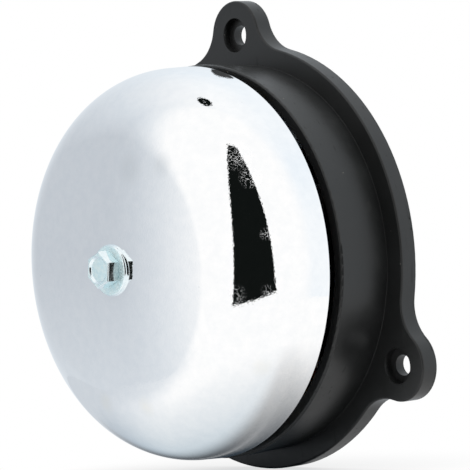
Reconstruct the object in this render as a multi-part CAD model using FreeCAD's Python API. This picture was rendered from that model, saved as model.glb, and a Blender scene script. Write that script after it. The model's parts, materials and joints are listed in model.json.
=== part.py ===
import FreeCAD, Part
import math
import os

# Wall-mounted electric bell: a 100 mm gong bolted over a round moulded base, with
# an interrupter striker inside.
# Millimetres. +X is right, +Z is up and +Y goes into the wall. Depth is measured
# from the wall towards the room, so a point at depth d has y = -d. The origin is
# on the bell's axis, in the plane of the wall.

# Gong: pressed dome with a slightly tapered side, a round shoulder, a flat crown.
gong_radius = 50.0
gong_wall = 1.2
gong_rim_depth = 24.0
gong_height = 27.5
gong_taper_deg = 2.7
gong_shoulder_radius = 21.2
gong_crown_radius = 230.0
gong_seat_radius = 7.5
gong_hole_radius = 2.8

# Base: flange with three ears, drum wall, floor with a shallow recess behind it.
flange_width = 5.1
flange_thickness = 4.7
flange_edge_round = 0.5
ear_radius = 8.9
ear_blend_radius = 10.5
ear_angles_deg = (90.0, 210.0, 330.0)
ear_reach = 3.1
wall_hole_radius = 2.6
counterbore_radius = 4.45
counterbore_depth = 2.1
drum_overhang = 0.4
drum_draft = 0.6
drum_wall = 3.1
drum_lip_gap = 3.4
drum_edge_round = 0.6
recess_depth = 1.6
recess_margin = 8.0
floor_thickness = 3.0
rib_count = 8
rib_width = 2.0
chassis_boss_height = 3.4
chassis_boss_radius = 3.6
centre_boss_radius = 9.5
pocket_floor_thickness = 3.0
pocket_radius = 6.6
blind_hole_skin = 0.4

# Pillar and its fasteners on the bell's axis.
pillar_radius = 6.0
pillar_chamfer = 0.4
seat_washer_radius = 7.0
seat_washer_thickness = 1.0
pillar_front_hole_depth = 16.0
pillar_back_hole_depth = 12.0
pillar_thread_radius = 2.5
pillar_screw_length = 14.0
lock_washer_radius = 4.9
lock_washer_thickness = 1.2
lock_washer_split = 1.0
gong_washer_radius = 6.5
gong_washer_thickness = 0.9
bolt_across_flats = 8.0
bolt_head_height = 3.5
bolt_chamfer_inset = 0.3
bolt_dish_rim = 0.8
bolt_dish_depth = 0.45
bolt_dish_slope = 0.35
bolt_turn_deg = -10.0
bolt_length = 16.0
bolt_tip_inset = 0.5
bolt_tip_length = 0.9

# Chassis plate, cut straight on the right to leave room for the terminals.
chassis_thickness = 1.5
chassis_wall_gap = 3.2
chassis_corner_radius = 2.0
chassis_screw_margin = 4.7
chassis_screw_angles_deg = (144.6, 235.5, 59.5)
small_screw_radius = 1.5
self_tapping_depth = 5.0
screw_end_gap = 0.4
screw_protrusion = 1.2

# Electromagnet: two upright coils joined by a yoke at the top.
coil_pillar_gap = 0.5
core_radius = 3.5
core_rivet_radius = 2.5
pole_z = -16.5
pole_overhang = 1.2
pole_chamfer = 0.2
yoke_z = 12.0
yoke_thickness = 3.5
yoke_end_margin = 8.0
yoke_bend_radius = 1.0
yoke_foot_length = 11.5
yoke_front_margin = 8.0
yoke_screw_x = 14.0
bobbin_flange_radius = 8.5
bobbin_flange_thickness = 1.2
bobbin_wall = 0.9
winding_margin = 0.6
coil_back_gap = 0.5
tag_lug_margin = 1.5
tag_lug_height = 2.5
tag_lug_reach = 3.0
solder_pin_radius = 0.5
solder_pin_length = 4.5
solder_pin_seat = 2.0
solder_pin_spacing = 6.0

# Armature, drawn against the poles and then swung back to where it rests.
pivot_wall_gap = 14.3
pole_gap = 0.3
swing_deg = 4.0
armature_thickness = 3.5
armature_width = 9.0
armature_overhang = 2.5
hub_radius = 4.2
hub_width = 8.0
hub_relief = 0.5
pivot_radius = 1.5
pivot_side_play = 0.1
spacer_radius = 3.2
clip_radius = 3.4
clip_thickness = 0.8
clip_groove_depth = 0.3
clip_opening = 2.0
stud_end = 0.8
rod_radius = 1.1
rod_bend_radius = 5.0
rod_seat = 1.6
hammer_radius = 4.0
hammer_length = 8.5
hammer_angle_deg = 173.0
hammer_rim_margin = 1.5
hammer_rod_depth = 5.0
hammer_edge_round = 0.8
strike_gap = 0.3

# Contact leaf under the armature, and the adjustable contact below it.
leaf_start_x = -6.0
leaf_bend_x = 5.0
leaf_tail = 3.0
leaf_joggle = 3.5
leaf_gap = 1.2
leaf_thickness = 0.4
leaf_width = 6.0
rivet_places_x = (-3.5, 2.0)
rivet_radius = 1.0
rivet_head_radius = 1.8
rivet_head_height = 0.7
rivet_crown_ratio = 0.7
contact_edge_margin = 11.5
contact_tip_radius = 1.6
contact_tip_height = 0.8
contact_crown_ratio = 0.6
contact_gap = 0.1
contact_block_width = 8.0
contact_block_height = 5.0
contact_block_drop = 2.5
contact_block_front = 4.5
contact_foot_length = 6.5
contact_foot_thickness = 2.5
contact_screw_radius = 1.5
contact_knob_radius = 2.75
contact_knob_height = 2.5
contact_knob_gap = 0.4
knob_chamfer = 0.3
knob_slot_width = 0.7
knob_slot_depth = 0.8
insulator_thickness = 1.0
insulator_margin = 0.8
bush_flange_radius = 3.2
bush_flange_thickness = 0.8
bush_radius = 2.1
nut_across_flats = 5.5
nut_thickness = 1.8

# Return spring between a pin on the armature and a post on the chassis.
spring_pin_x = -9.0
spring_pin_drop = 4.0
spring_pin_radius = 1.0
spring_pin_reach = 7.0
spring_pin_head_radius = 1.5
spring_pin_head_length = 0.6
spring_lug_half_width = 2.5
spring_lug_thickness = 1.5
spring_lug_tail = 2.2
spring_span = 10.5
spring_wire_radius = 0.3
spring_radius = 1.7
spring_loop_leg = 1.0
spring_hook_play = 0.1
post_radius = 2.5
post_head_radius = 1.8
post_neck_half_length = 2.3
post_head_thickness = 1.0

# Terminal block and cable entry on the floor of the base.
terminal_wall_gap = 5.8
terminal_side_gap = 2.0
terminal_width = 12.0
terminal_z = 6.0
terminal_height = 22.0
terminal_rise = 12.4
terminal_pitch = 10.0
tube_radius = 2.4
tube_bore_radius = 1.6
tube_end_margin = 0.5
tube_rise = 6.4
clamp_screw_radius = 1.25
clamp_screw_head_radius = 1.7
clamp_screw_head_height = 1.4
clamp_screw_spacing = 6.0
clamp_screw_sink = 0.8
clamp_screw_rise = 0.2
clamp_slot_depth = 0.7
clamp_slot_width = 0.6
fixing_screw_sink = 3.5
block_edge_round = 0.6
grommet_wall_gap = 13.3
grommet_z = -17.0
grommet_bore_radius = 3.0
grommet_neck_wall = 2.0
grommet_flange_width = 1.8
grommet_back_flange = 1.2
grommet_front_flange = 1.8
grommet_back_chamfer = 0.4
grommet_front_chamfer = 0.8

# Internal leads and the tag that ties one of them to the chassis.
lead_radius = 0.6
lead_loop_height = 8.0
lead_drop = 14.0
lead_turn = 6.0
lead_sway = 0.4
lead_stripped_length = 4.5
lead_side_gap = 3.2
frame_tag_margin = 8.1
frame_tag_z = 6.0
frame_tag_radius = 3.2
frame_tag_thickness = 0.6
frame_tag_reach = 4.6
frame_tag_half_width = 1.5
frame_tag_tongue = 1.4

# Clearance round fixed pieces, the reach of a cut past a face, and the pan head's
# shape as ratios to its shank's radius.
clearance = 0.05
overcut = 1.0
pan_head_ratio = 1.8
pan_crown_ratio = 1.35
pan_height_ratio = 1.1
pan_slot_ratio = 0.225
pan_slot_reach_ratio = 1.08
pan_tip_ratio = 0.7
pan_tip_length_ratio = 0.4
bend_share = 0.45

# Places that follow from the sizes above.
drum_lip_radius = gong_radius + drum_overhang
drum_corner_radius = drum_lip_radius - drum_draft
flange_radius = drum_corner_radius + flange_width
wall_hole_circle_radius = flange_radius + ear_reach
lip_depth = gong_rim_depth - drum_lip_gap
floor_depth = recess_depth + floor_thickness
chassis_back = floor_depth + chassis_boss_height
chassis_front = chassis_back + chassis_thickness
drum_inner_radius = drum_lip_radius - drum_wall
recess_radius = flange_radius - recess_margin
bolt_chamfer_radius = bolt_across_flats / math.sqrt(3) - bolt_chamfer_inset
bolt_dish_radius = bolt_chamfer_radius - bolt_dish_rim
chassis_radius = drum_inner_radius - chassis_wall_gap
terminal_x = drum_inner_radius - terminal_wall_gap - terminal_width
terminal_centre_x = terminal_x + terminal_width / 2
chassis_cut_x = terminal_x - terminal_side_gap
grommet_x = drum_inner_radius - grommet_wall_gap
grommet_neck_radius = grommet_bore_radius + grommet_neck_wall
grommet_flange_radius = grommet_neck_radius + grommet_flange_width
pivot_x = pivot_wall_gap - drum_inner_radius
frame_tag_x = frame_tag_margin - chassis_radius
tag_tongue_x = frame_tag_x + frame_tag_radius + frame_tag_tongue
coil_spacing = 2 * (pillar_radius + coil_pillar_gap + bobbin_flange_radius)
yoke_half_width = coil_spacing / 2 + yoke_end_margin
tag_lug_half_width = solder_pin_spacing / 2 + tag_lug_margin
contact_tip_x = chassis_cut_x - contact_edge_margin
leaf_end_x = contact_tip_x + leaf_tail
gong_top = gong_rim_depth + gong_height
pillar_front = gong_top - gong_wall - seat_washer_thickness
pocket_depth = chassis_back - pocket_floor_thickness
coil_depth = chassis_front + coil_back_gap + bobbin_flange_radius
coil_places_x = {"left": -coil_spacing / 2, "right": coil_spacing / 2}
hub_depth = coil_depth - hub_width / 2
armature_top = pole_z - pole_gap
armature_bottom = armature_top - armature_thickness
pivot_z = armature_top - armature_thickness / 2
leaf_back = coil_depth - leaf_width / 2
contact_pad_z = armature_bottom - leaf_gap - leaf_thickness
towards_room = FreeCAD.Vector(0, -1, 0)
upwards = FreeCAD.Vector(0, 0, 1)


def at(x, depth, z):
    return FreeCAD.Vector(x, -depth, z)


def disc(x, z, radius, back, front):
    return Part.makeCylinder(radius, front - back, at(x, back, z), towards_room)


def rod_up(x, depth, radius, low, high):
    return Part.makeCylinder(radius, high - low, at(x, depth, low), upwards)


def rod_across(depth, z, radius, left, right):
    return Part.makeCylinder(radius, right - left, at(left, depth, z), FreeCAD.Vector(1, 0, 0))


def block(x_range, depth_range, z_range):
    width = x_range[1] - x_range[0]
    reach = depth_range[1] - depth_range[0]
    height = z_range[1] - z_range[0]
    return Part.makeBox(width, reach, height, at(x_range[0], depth_range[1], z_range[0]))


def about(centre, half):
    return (centre - half, centre + half)


def turned(outline, x, z):
    # Solid of revolution about a line towards the room, from (radius, depth) points.
    points = [at(radius, depth, 0) for radius, depth in outline]
    face = Part.Face(Part.makePolygon(points + points[:1]))
    solid = face.revolve(FreeCAD.Vector(0, 0, 0), towards_room, 360)
    solid.translate(FreeCAD.Vector(x, 0, z))
    return solid


def turned_upright(outline, x, depth):
    # Solid of revolution about an upright line, from (radius, z) points.
    points = [FreeCAD.Vector(radius, 0, z) for radius, z in outline]
    face = Part.Face(Part.makePolygon(points + points[:1]))
    solid = face.revolve(FreeCAD.Vector(0, 0, 0), upwards, 360)
    solid.translate(at(x, depth, 0))
    return solid


def hexagon(across_flats, centre, direction, thickness):
    # Hexagonal prism with a flat towards +X.
    radius = across_flats / math.sqrt(3)
    corners = []
    for index in range(6):
        angle = math.radians(60 * index + 30)
        corner = FreeCAD.Vector(radius * math.cos(angle), radius * math.sin(angle), 0)
        corners.append(corner)
    prism = Part.Face(Part.makePolygon(corners + corners[:1])).extrude(upwards * thickness)
    prism.Placement = FreeCAD.Placement(centre, FreeCAD.Rotation(upwards, direction))
    return prism


def pan_screw(x, z, radius, seat, tip):
    # Pan head beyond the seat, shank from the seat to the tip, crossed slots.
    away = 1 if tip < seat else -1
    head_radius = radius * pan_head_ratio
    top = seat + away * radius * pan_height_ratio
    shoulder = (seat + top) / 2
    outline = (
        (0, tip),
        (radius * pan_tip_ratio, tip),
        (radius, tip + away * radius * pan_tip_length_ratio),
        (radius, seat),
        (head_radius, seat),
        (head_radius, shoulder),
        (radius * pan_crown_ratio, top),
        (0, top),
    )
    screw = turned(outline, x, z)
    slot_half = radius * pan_slot_ratio
    slot_reach = radius * pan_slot_reach_ratio
    slot_depths = sorted((shoulder, top + away * overcut))
    for half_width, half_height in ((slot_reach, slot_half), (slot_half, slot_reach)):
        slot = block(about(x, half_width), slot_depths, about(z, half_height))
        screw = screw.cut(slot)
    return screw


def rounded(solid, radius, chosen):
    edges = [edge for edge in solid.Edges if chosen(edge)]
    return solid.makeFillet(radius, edges)


def swung_back(solid):
    # From the armature against the poles to the armature at rest.
    rested = solid.copy()
    rested.rotate(at(pivot_x, 0, pivot_z), towards_room, -swing_deg)
    return rested


def swung_back_point(x, z):
    swing = math.radians(swing_deg)
    across = x - pivot_x
    up = z - pivot_z
    rest_x = pivot_x + across * math.cos(swing) + up * math.sin(swing)
    rest_z = pivot_z - across * math.sin(swing) + up * math.cos(swing)
    return rest_x, rest_z


def bent_tube(name, radius, points, bend_radius=None):
    # Round bar along straight runs joined by tangent arcs. With no radius given,
    # each arc takes up a share of the shorter run beside it.
    edges = []
    radii = []
    start = points[0]
    for before, corner, after in zip(points, points[1:], points[2:]):
        back = before - corner
        forth = after - corner
        shorter = min(back.Length, forth.Length)
        turn = math.pi - back.getAngle(forth)
        bend = bend_radius or bend_share * shorter / math.tan(turn / 2)
        reach = bend * math.tan(turn / 2)
        back.normalize()
        forth.normalize()
        bisector = back + forth
        bisector.normalize()
        middle = corner + bisector * (bend / math.cos(turn / 2) - bend)
        arc_start = corner + back * reach
        arc_end = corner + forth * reach
        edges.append(Part.LineSegment(start, arc_start).toShape())
        edges.append(Part.Arc(arc_start, middle, arc_end).toShape())
        radii.append(round(bend, 1))
        start = arc_end
    edges.append(Part.LineSegment(start, points[-1]).toShape())
    print(name, "bend radii", radii)
    section = Part.Wire(Part.makeCircle(radius, points[0], points[1] - points[0]))
    return Part.Wire(edges).makePipeShell([section], True, False)


def gong_shoulder():
    # Centre of the shoulder arc, tangent to the tapered side and to the crown.
    taper = math.radians(gong_taper_deg)
    crown_centre = gong_top - math.sqrt(gong_crown_radius ** 2 - gong_seat_radius ** 2)
    start_radius = gong_radius - gong_shoulder_radius * math.cos(taper)
    start_depth = gong_rim_depth - gong_shoulder_radius * math.sin(taper) - crown_centre
    along = start_depth * math.cos(taper) - start_radius * math.sin(taper)
    reach = (gong_crown_radius - gong_shoulder_radius) ** 2
    slack = start_radius ** 2 + start_depth ** 2 - reach
    run = math.sqrt(along ** 2 - slack) - along
    centre_radius = start_radius - run * math.sin(taper)
    centre_depth = start_depth + crown_centre + run * math.cos(taper)
    return centre_radius, centre_depth, crown_centre


def gong_inner_radius(depth):
    # Inside radius of the gong: tapered side, then the shoulder arc.
    centre_radius, centre_depth, _ = gong_shoulder()
    taper = math.radians(gong_taper_deg)
    arc_radius = gong_shoulder_radius - gong_wall
    if depth < centre_depth + arc_radius * math.sin(taper):
        rim = gong_radius - gong_wall / math.cos(taper)
        return rim - (depth - gong_rim_depth) * math.tan(taper)
    return centre_radius + math.sqrt(arc_radius ** 2 - (depth - centre_depth) ** 2)


def gong_skin(inset):
    # Points of the gong's outline, moved inwards by inset, from rim to centre hole.
    taper = math.radians(gong_taper_deg)
    centre_radius, centre_depth, crown_centre = gong_shoulder()
    crown_angle = math.atan2(centre_depth - crown_centre, centre_radius)
    shoulder = gong_shoulder_radius - inset
    crown = gong_crown_radius - inset
    seat_depth = gong_top - inset
    seat_radius = math.sqrt(crown ** 2 - (seat_depth - crown_centre) ** 2)
    seat_angle = math.atan2(seat_depth - crown_centre, seat_radius)

    def on_shoulder(angle):
        radius = centre_radius + shoulder * math.cos(angle)
        return at(radius, centre_depth + shoulder * math.sin(angle), 0)

    def on_crown(angle):
        return at(crown * math.cos(angle), crown_centre + crown * math.sin(angle), 0)

    return {
        "rim": at(gong_radius - inset / math.cos(taper), gong_rim_depth, 0),
        "side_end": on_shoulder(taper),
        "shoulder_middle": on_shoulder((taper + crown_angle) / 2),
        "shoulder_end": on_shoulder(crown_angle),
        "crown_middle": on_crown((crown_angle + seat_angle) / 2),
        "seat": at(seat_radius, seat_depth, 0),
        "hole": at(gong_hole_radius, seat_depth, 0),
    }


def gong():
    edges = []
    for inset in (0, gong_wall):
        skin = gong_skin(inset)
        edges.append(Part.LineSegment(skin["rim"], skin["side_end"]).toShape())
        shoulder = Part.Arc(skin["side_end"], skin["shoulder_middle"], skin["shoulder_end"])
        edges.append(shoulder.toShape())
        edges.append(Part.Arc(skin["shoulder_end"], skin["crown_middle"], skin["seat"]).toShape())
        edges.append(Part.LineSegment(skin["seat"], skin["hole"]).toShape())
    outer = gong_skin(0)
    inner = gong_skin(gong_wall)
    edges.append(Part.LineSegment(outer["hole"], inner["hole"]).toShape())
    edges.append(Part.LineSegment(outer["rim"], inner["rim"]).toShape())
    section = Part.Face(Part.Wire(Part.__sortEdges__(edges)))
    return section.revolve(FreeCAD.Vector(0, 0, 0), towards_room, 360)


def flange_outline():
    # Circle with three round ears, each joined to it by two hollow arcs.
    spread = math.acos(
        (
            wall_hole_circle_radius ** 2
            + (flange_radius + ear_blend_radius) ** 2
            - (ear_radius + ear_blend_radius) ** 2
        )
        / (2 * wall_hole_circle_radius * (flange_radius + ear_blend_radius))
    )

    def polar(radius, angle):
        return FreeCAD.Vector(radius * math.cos(angle), 0, radius * math.sin(angle))

    def blend(ear, angle):
        centre = polar(flange_radius + ear_blend_radius, angle)
        on_flange = polar(flange_radius, angle)
        to_ear = ear - centre
        to_ear.normalize()
        on_ear = centre + to_ear * ear_blend_radius
        inwards = on_flange + on_ear - centre * 2
        inwards.normalize()
        return on_flange, centre + inwards * ear_blend_radius, on_ear

    edges = []
    for index, ear_angle_deg in enumerate(ear_angles_deg):
        angle = math.radians(ear_angle_deg)
        step = math.radians(ear_angles_deg[(index + 1) % len(ear_angles_deg)] - ear_angle_deg)
        to_next = step % (2 * math.pi)
        ear = polar(wall_hole_circle_radius, angle)
        ear_top = polar(wall_hole_circle_radius + ear_radius, angle)
        first = blend(ear, angle - spread)
        second = blend(ear, angle + spread)
        edges.append(Part.Arc(*first).toShape())
        edges.append(Part.Arc(first[2], ear_top, second[2]).toShape())
        edges.append(Part.Arc(second[2], second[1], second[0]).toShape())
        middle = polar(flange_radius, angle + to_next / 2)
        far_end = polar(flange_radius, angle + to_next - spread)
        edges.append(Part.Arc(second[0], middle, far_end).toShape())
    return Part.Face(Part.Wire(Part.__sortEdges__(edges)))


def ear_places():
    for ear_angle_deg in ear_angles_deg:
        angle = math.radians(ear_angle_deg)
        yield wall_hole_circle_radius * math.cos(angle), wall_hole_circle_radius * math.sin(angle)


def chassis_screw_places():
    reach = chassis_radius - chassis_screw_margin
    for angle_deg in chassis_screw_angles_deg:
        angle = math.radians(angle_deg)
        yield reach * math.cos(angle), reach * math.sin(angle)


def base_moulding():
    body = flange_outline().extrude(towards_room * flange_thickness)
    body = rounded(
        body,
        flange_edge_round,
        lambda edge: all(abs(point.Point.y + flange_thickness) < clearance for point in edge.Vertexes),
    )
    drum = Part.makeCone(
        drum_corner_radius,
        drum_lip_radius,
        lip_depth - flange_thickness,
        at(0, flange_thickness, 0),
        towards_room,
    )
    body = body.fuse(drum)
    body = body.cut(disc(0, 0, drum_inner_radius, floor_depth, lip_depth))
    body = rounded(body, drum_edge_round, lambda edge: abs(edge.CenterOfMass.y + lip_depth) < clearance)
    body = body.cut(disc(0, 0, recess_radius, 0, recess_depth))
    rib_front = recess_depth + clearance
    additions = [
        disc(0, 0, centre_boss_radius, 0, chassis_back),
        disc(grommet_x, grommet_z, grommet_flange_radius + rib_width, 0, rib_front),
    ]
    for x, z in chassis_screw_places():
        additions.append(disc(x, z, chassis_boss_radius, floor_depth - clearance, chassis_back))
    for index in range(rib_count):
        rib = block((0, recess_radius + clearance), (0, rib_front), about(0, rib_width / 2))
        rib.rotate(FreeCAD.Vector(0, 0, 0), towards_room, 360 * (index + 0.5) / rib_count)
        additions.append(rib)
    for addition in additions:
        body = body.fuse(addition)
    body = body.removeSplitter()
    skin = recess_depth + blind_hole_skin
    cuts = [
        disc(0, 0, pocket_radius, 0, pocket_depth),
        disc(0, 0, pillar_thread_radius + clearance, 0, chassis_back),
        disc(grommet_x, grommet_z, grommet_flange_radius + clearance, 0, recess_depth),
        disc(grommet_x, grommet_z, grommet_neck_radius + clearance, 0, floor_depth),
        disc(terminal_centre_x, terminal_z, small_screw_radius, skin, floor_depth),
    ]
    for x, z in ear_places():
        counterbore_back = flange_thickness - counterbore_depth
        cuts.append(disc(x, z, wall_hole_radius, 0, flange_thickness))
        cuts.append(disc(x, z, counterbore_radius, counterbore_back, flange_thickness))
    for x, z in chassis_screw_places():
        cuts.append(disc(x, z, small_screw_radius, chassis_back - self_tapping_depth, chassis_back))
    for cut in cuts:
        body = body.cut(cut)
    return body


def gong_bolt():
    seat = gong_top + gong_washer_thickness
    top = seat + bolt_head_height
    corner = bolt_across_flats / math.sqrt(3)
    chamfer = (corner - bolt_chamfer_radius) * math.tan(math.radians(30))
    head = hexagon(bolt_across_flats, at(0, seat, 0), towards_room, bolt_head_height)
    head.rotate(FreeCAD.Vector(0, 0, 0), towards_room, bolt_turn_deg)
    cone = ((0, seat), (corner, seat), (corner, top - chamfer), (bolt_chamfer_radius, top), (0, top))
    head = head.common(turned(cone, 0, 0))
    dish_floor = top - bolt_dish_depth
    dish = (
        (0, dish_floor),
        (bolt_dish_radius - bolt_dish_slope, dish_floor),
        (bolt_dish_radius, top),
        (0, top),
    )
    head = head.cut(turned(dish, 0, 0))
    tip = seat - bolt_length
    shank = (
        (0, tip),
        (pillar_thread_radius - bolt_tip_inset, tip),
        (pillar_thread_radius, tip + bolt_tip_length),
        (pillar_thread_radius, seat),
        (0, seat),
    )
    return head.fuse(turned(shank, 0, 0)).removeSplitter()


def washer(radius, hole_radius, back, thickness):
    front = back + thickness
    return disc(0, 0, radius, back, front).cut(disc(0, 0, hole_radius, back, front))


def lock_washer():
    back = pocket_depth - lock_washer_thickness
    hole_radius = pillar_thread_radius + clearance
    ring = washer(lock_washer_radius, hole_radius, back, lock_washer_thickness)
    outside = lock_washer_radius + overcut
    return ring.cut(block((0, outside), (0, pocket_depth), about(0, lock_washer_split / 2)))


def gong_pillar():
    bore = pillar_thread_radius + clearance
    pillar = disc(0, 0, pillar_radius, chassis_front, pillar_front)
    ends = [edge for edge in pillar.Edges if len(edge.Vertexes) == 1]
    pillar = pillar.makeChamfer(pillar_chamfer, ends)
    pillar = pillar.cut(disc(0, 0, bore, chassis_front, chassis_front + pillar_back_hole_depth))
    return pillar.cut(disc(0, 0, bore, pillar_front - pillar_front_hole_depth, pillar_front))


def chassis_plate():
    plate = disc(0, 0, chassis_radius, chassis_back, chassis_front)
    outside = block((chassis_cut_x, chassis_radius), (0, chassis_front), about(0, chassis_radius))
    plate = plate.cut(outside)
    corner = math.sqrt(chassis_radius ** 2 - chassis_cut_x ** 2)
    plate = rounded(
        plate,
        chassis_corner_radius,
        lambda edge: len(edge.Vertexes) == 2
        and abs(edge.CenterOfMass.x - chassis_cut_x) < clearance
        and abs(abs(edge.CenterOfMass.z) - corner) < clearance,
    )
    hole_radius = small_screw_radius + clearance
    holes = [(x, z, hole_radius) for x, z in chassis_screw_places()]
    holes.append((0, 0, pillar_thread_radius + clearance))
    holes.append((yoke_screw_x, yoke_screw_z, hole_radius))
    holes.append((-yoke_screw_x, yoke_screw_z, hole_radius))
    holes.append((pivot_x, pivot_z, pivot_radius + clearance))
    holes.append((spring_x, post_z, spring_pin_radius + clearance))
    holes.append((contact_foot_screw_x, contact_block_z, hole_radius))
    holes.append((frame_tag_x, frame_tag_z, hole_radius))
    for x, z, radius in holes:
        plate = plate.cut(disc(x, z, radius, chassis_back, chassis_front))
    return plate


def yoke():
    # L section: an upright leg over the cores and a foot along the chassis.
    back = chassis_front
    corners = (
        (yoke_z, back),
        (yoke_z + yoke_thickness + yoke_foot_length, back),
        (yoke_z + yoke_thickness + yoke_foot_length, back + yoke_thickness),
        (yoke_z + yoke_thickness, back + yoke_thickness),
        (yoke_z + yoke_thickness, coil_depth + yoke_front_margin),
        (yoke_z, coil_depth + yoke_front_margin),
    )
    points = [at(-yoke_half_width, depth, z) for z, depth in corners]
    section = Part.Face(Part.makePolygon(points + points[:1]))
    bar = section.extrude(FreeCAD.Vector(2 * yoke_half_width, 0, 0))
    bend = (yoke_z + yoke_thickness, back + yoke_thickness)
    bar = rounded(
        bar,
        yoke_bend_radius,
        lambda edge: abs(edge.CenterOfMass.z - bend[0]) < clearance
        and abs(edge.CenterOfMass.y + bend[1]) < clearance,
    )
    for x in coil_places_x.values():
        hole = rod_up(x, coil_depth, core_rivet_radius + clearance, yoke_z, yoke_z + yoke_thickness)
        bar = bar.cut(hole)
    hole_radius = small_screw_radius + clearance
    for x in (-yoke_screw_x, yoke_screw_x):
        bar = bar.cut(disc(x, yoke_screw_z, hole_radius, back, back + yoke_thickness))
    return bar


def core(x):
    outline = (
        (0, pole_z),
        (core_radius - pole_chamfer, pole_z),
        (core_radius, pole_z + pole_chamfer),
        (core_radius, yoke_z),
        (core_rivet_radius, yoke_z),
        (core_rivet_radius, yoke_z + yoke_thickness),
        (0, yoke_z + yoke_thickness),
    )
    return turned_upright(outline, x, coil_depth)


def bobbin(x):
    bore = core_radius + clearance
    barrel = bore + bobbin_wall
    low = pole_z + pole_overhang
    high = yoke_z - clearance
    outline = (
        (bore, low),
        (bobbin_flange_radius, low),
        (bobbin_flange_radius, low + bobbin_flange_thickness),
        (barrel, low + bobbin_flange_thickness),
        (barrel, high - bobbin_flange_thickness),
        (bobbin_flange_radius, high - bobbin_flange_thickness),
        (bobbin_flange_radius, high),
        (bore, high),
    )
    reel = turned_upright(outline, x, coil_depth)
    lug_back = coil_depth + bobbin_flange_radius
    root = block(
        about(x, tag_lug_half_width),
        (lug_back - tag_lug_half_width / 2, lug_back + clearance),
        (high - bobbin_flange_thickness, high),
    )
    lug = block(
        about(x, tag_lug_half_width),
        (lug_back, lug_back + tag_lug_reach),
        (high - tag_lug_height, high),
    )
    reel = reel.fuse(root).fuse(lug).removeSplitter()
    pin_hole_radius = solder_pin_radius + clearance
    for pin_x in solder_pins_x(x):
        reel = reel.cut(disc(pin_x, solder_pin_z, pin_hole_radius, pin_seat, lug_back + tag_lug_reach))
    return reel


def winding(x):
    inner = core_radius + bobbin_wall + 2 * clearance
    outer = bobbin_flange_radius - winding_margin
    low = pole_z + pole_overhang + bobbin_flange_thickness + clearance
    high = yoke_z - bobbin_flange_thickness - 2 * clearance
    outline = ((inner, low), (outer, low), (outer, high), (inner, high))
    return turned_upright(outline, x, coil_depth)


def solder_pins_x(x):
    return (x - solder_pin_spacing / 2, x + solder_pin_spacing / 2)


def solder_pins():
    pins = []
    for x in coil_places_x.values():
        for pin_x in solder_pins_x(x):
            pins.append(disc(pin_x, solder_pin_z, solder_pin_radius, pin_seat, pin_tip))
    return Part.makeCompound(pins)


def armature():
    # Flat bar with a pivot hub at its left end and a lug for the spring pin.
    end_x = coil_places_x["right"] + core_radius + armature_overhang
    depths = about(coil_depth, armature_width / 2)
    bar = block((pivot_x, end_x), depths, (armature_bottom, armature_top))
    hub = disc(pivot_x, pivot_z, hub_radius, hub_depth, hub_depth + hub_width)
    side = block(
        about(pivot_x, hub_radius + hub_relief),
        (depths[0] - overcut, hub_depth),
        about(pivot_z, hub_radius + hub_relief),
    )
    front = block(
        about(pivot_x, hub_radius + hub_relief),
        (hub_depth + hub_width, depths[1] + overcut),
        about(pivot_z, hub_radius + hub_relief),
    )
    lug = block(
        about(spring_pin_x, spring_lug_half_width),
        (depths[0], depths[0] + spring_lug_thickness),
        (spring_pin_z - spring_lug_tail, armature_bottom + clearance),
    )
    body = bar.fuse(hub).cut(side).cut(front).fuse(lug).removeSplitter()
    body = body.cut(disc(pivot_x, pivot_z, pivot_radius + clearance, hub_depth, hub_depth + hub_width))
    for x in rivet_places_x:
        body = body.cut(rod_up(x, coil_depth, rivet_radius + clearance, armature_bottom, armature_top))
    body = body.cut(disc(spring_pin_x, spring_pin_z, spring_pin_radius + clearance, 0, coil_depth))
    body = body.cut(rod_bore())
    return swung_back(body)


def hammer_place():
    # Where the hammer's axis stands when the armature touches the poles.
    strike_depth = gong_rim_depth + hammer_rim_margin + hammer_length - hammer_edge_round
    reach = gong_inner_radius(strike_depth) - strike_gap - hammer_radius
    angle = math.radians(hammer_angle_deg)
    return reach * math.cos(angle), reach * math.sin(angle)


def rod_points():
    hammer_x, hammer_z = hammer_place()
    hub = at(pivot_x, coil_depth, pivot_z)
    bend = at(hammer_x, coil_depth, hammer_z)
    direction = bend - hub
    direction.normalize()
    start = hub + direction * (hub_radius - rod_seat)
    end = at(hammer_x, gong_rim_depth + hammer_rim_margin + hammer_rod_depth, hammer_z)
    return start, bend, end


def rod_bore():
    start, bend, _ = rod_points()
    return Part.makeCylinder(rod_radius + clearance, rod_seat + overcut, start, bend - start)


def hammer_rod():
    return swung_back(bent_tube("hammer_rod", rod_radius, rod_points(), rod_bend_radius))


def hammer_head():
    x, z = hammer_place()
    back = gong_rim_depth + hammer_rim_margin
    head = disc(x, z, hammer_radius, back, back + hammer_length)
    head = rounded(head, hammer_edge_round, lambda edge: len(edge.Vertexes) == 1)
    head = head.cut(disc(x, z, rod_radius + clearance, back, back + hammer_rod_depth))
    return swung_back(head)


def contact_leaf():
    # Strip riveted flat to the armature, stepping down to a free end.
    upper = armature_bottom
    lower = armature_bottom - leaf_gap
    corners = (
        (leaf_start_x, upper),
        (leaf_bend_x, upper),
        (leaf_bend_x + leaf_joggle, lower),
        (leaf_end_x, lower),
        (leaf_end_x, lower - leaf_thickness),
        (leaf_bend_x + leaf_joggle, lower - leaf_thickness),
        (leaf_bend_x, upper - leaf_thickness),
        (leaf_start_x, upper - leaf_thickness),
    )
    points = [at(x, leaf_back, z) for x, z in corners]
    strip = Part.Face(Part.makePolygon(points + points[:1])).extrude(towards_room * leaf_width)
    for x in rivet_places_x:
        hole = rod_up(x, coil_depth, rivet_radius + clearance, upper - leaf_thickness, upper)
        strip = strip.cut(hole)
    return swung_back(strip)


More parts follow.
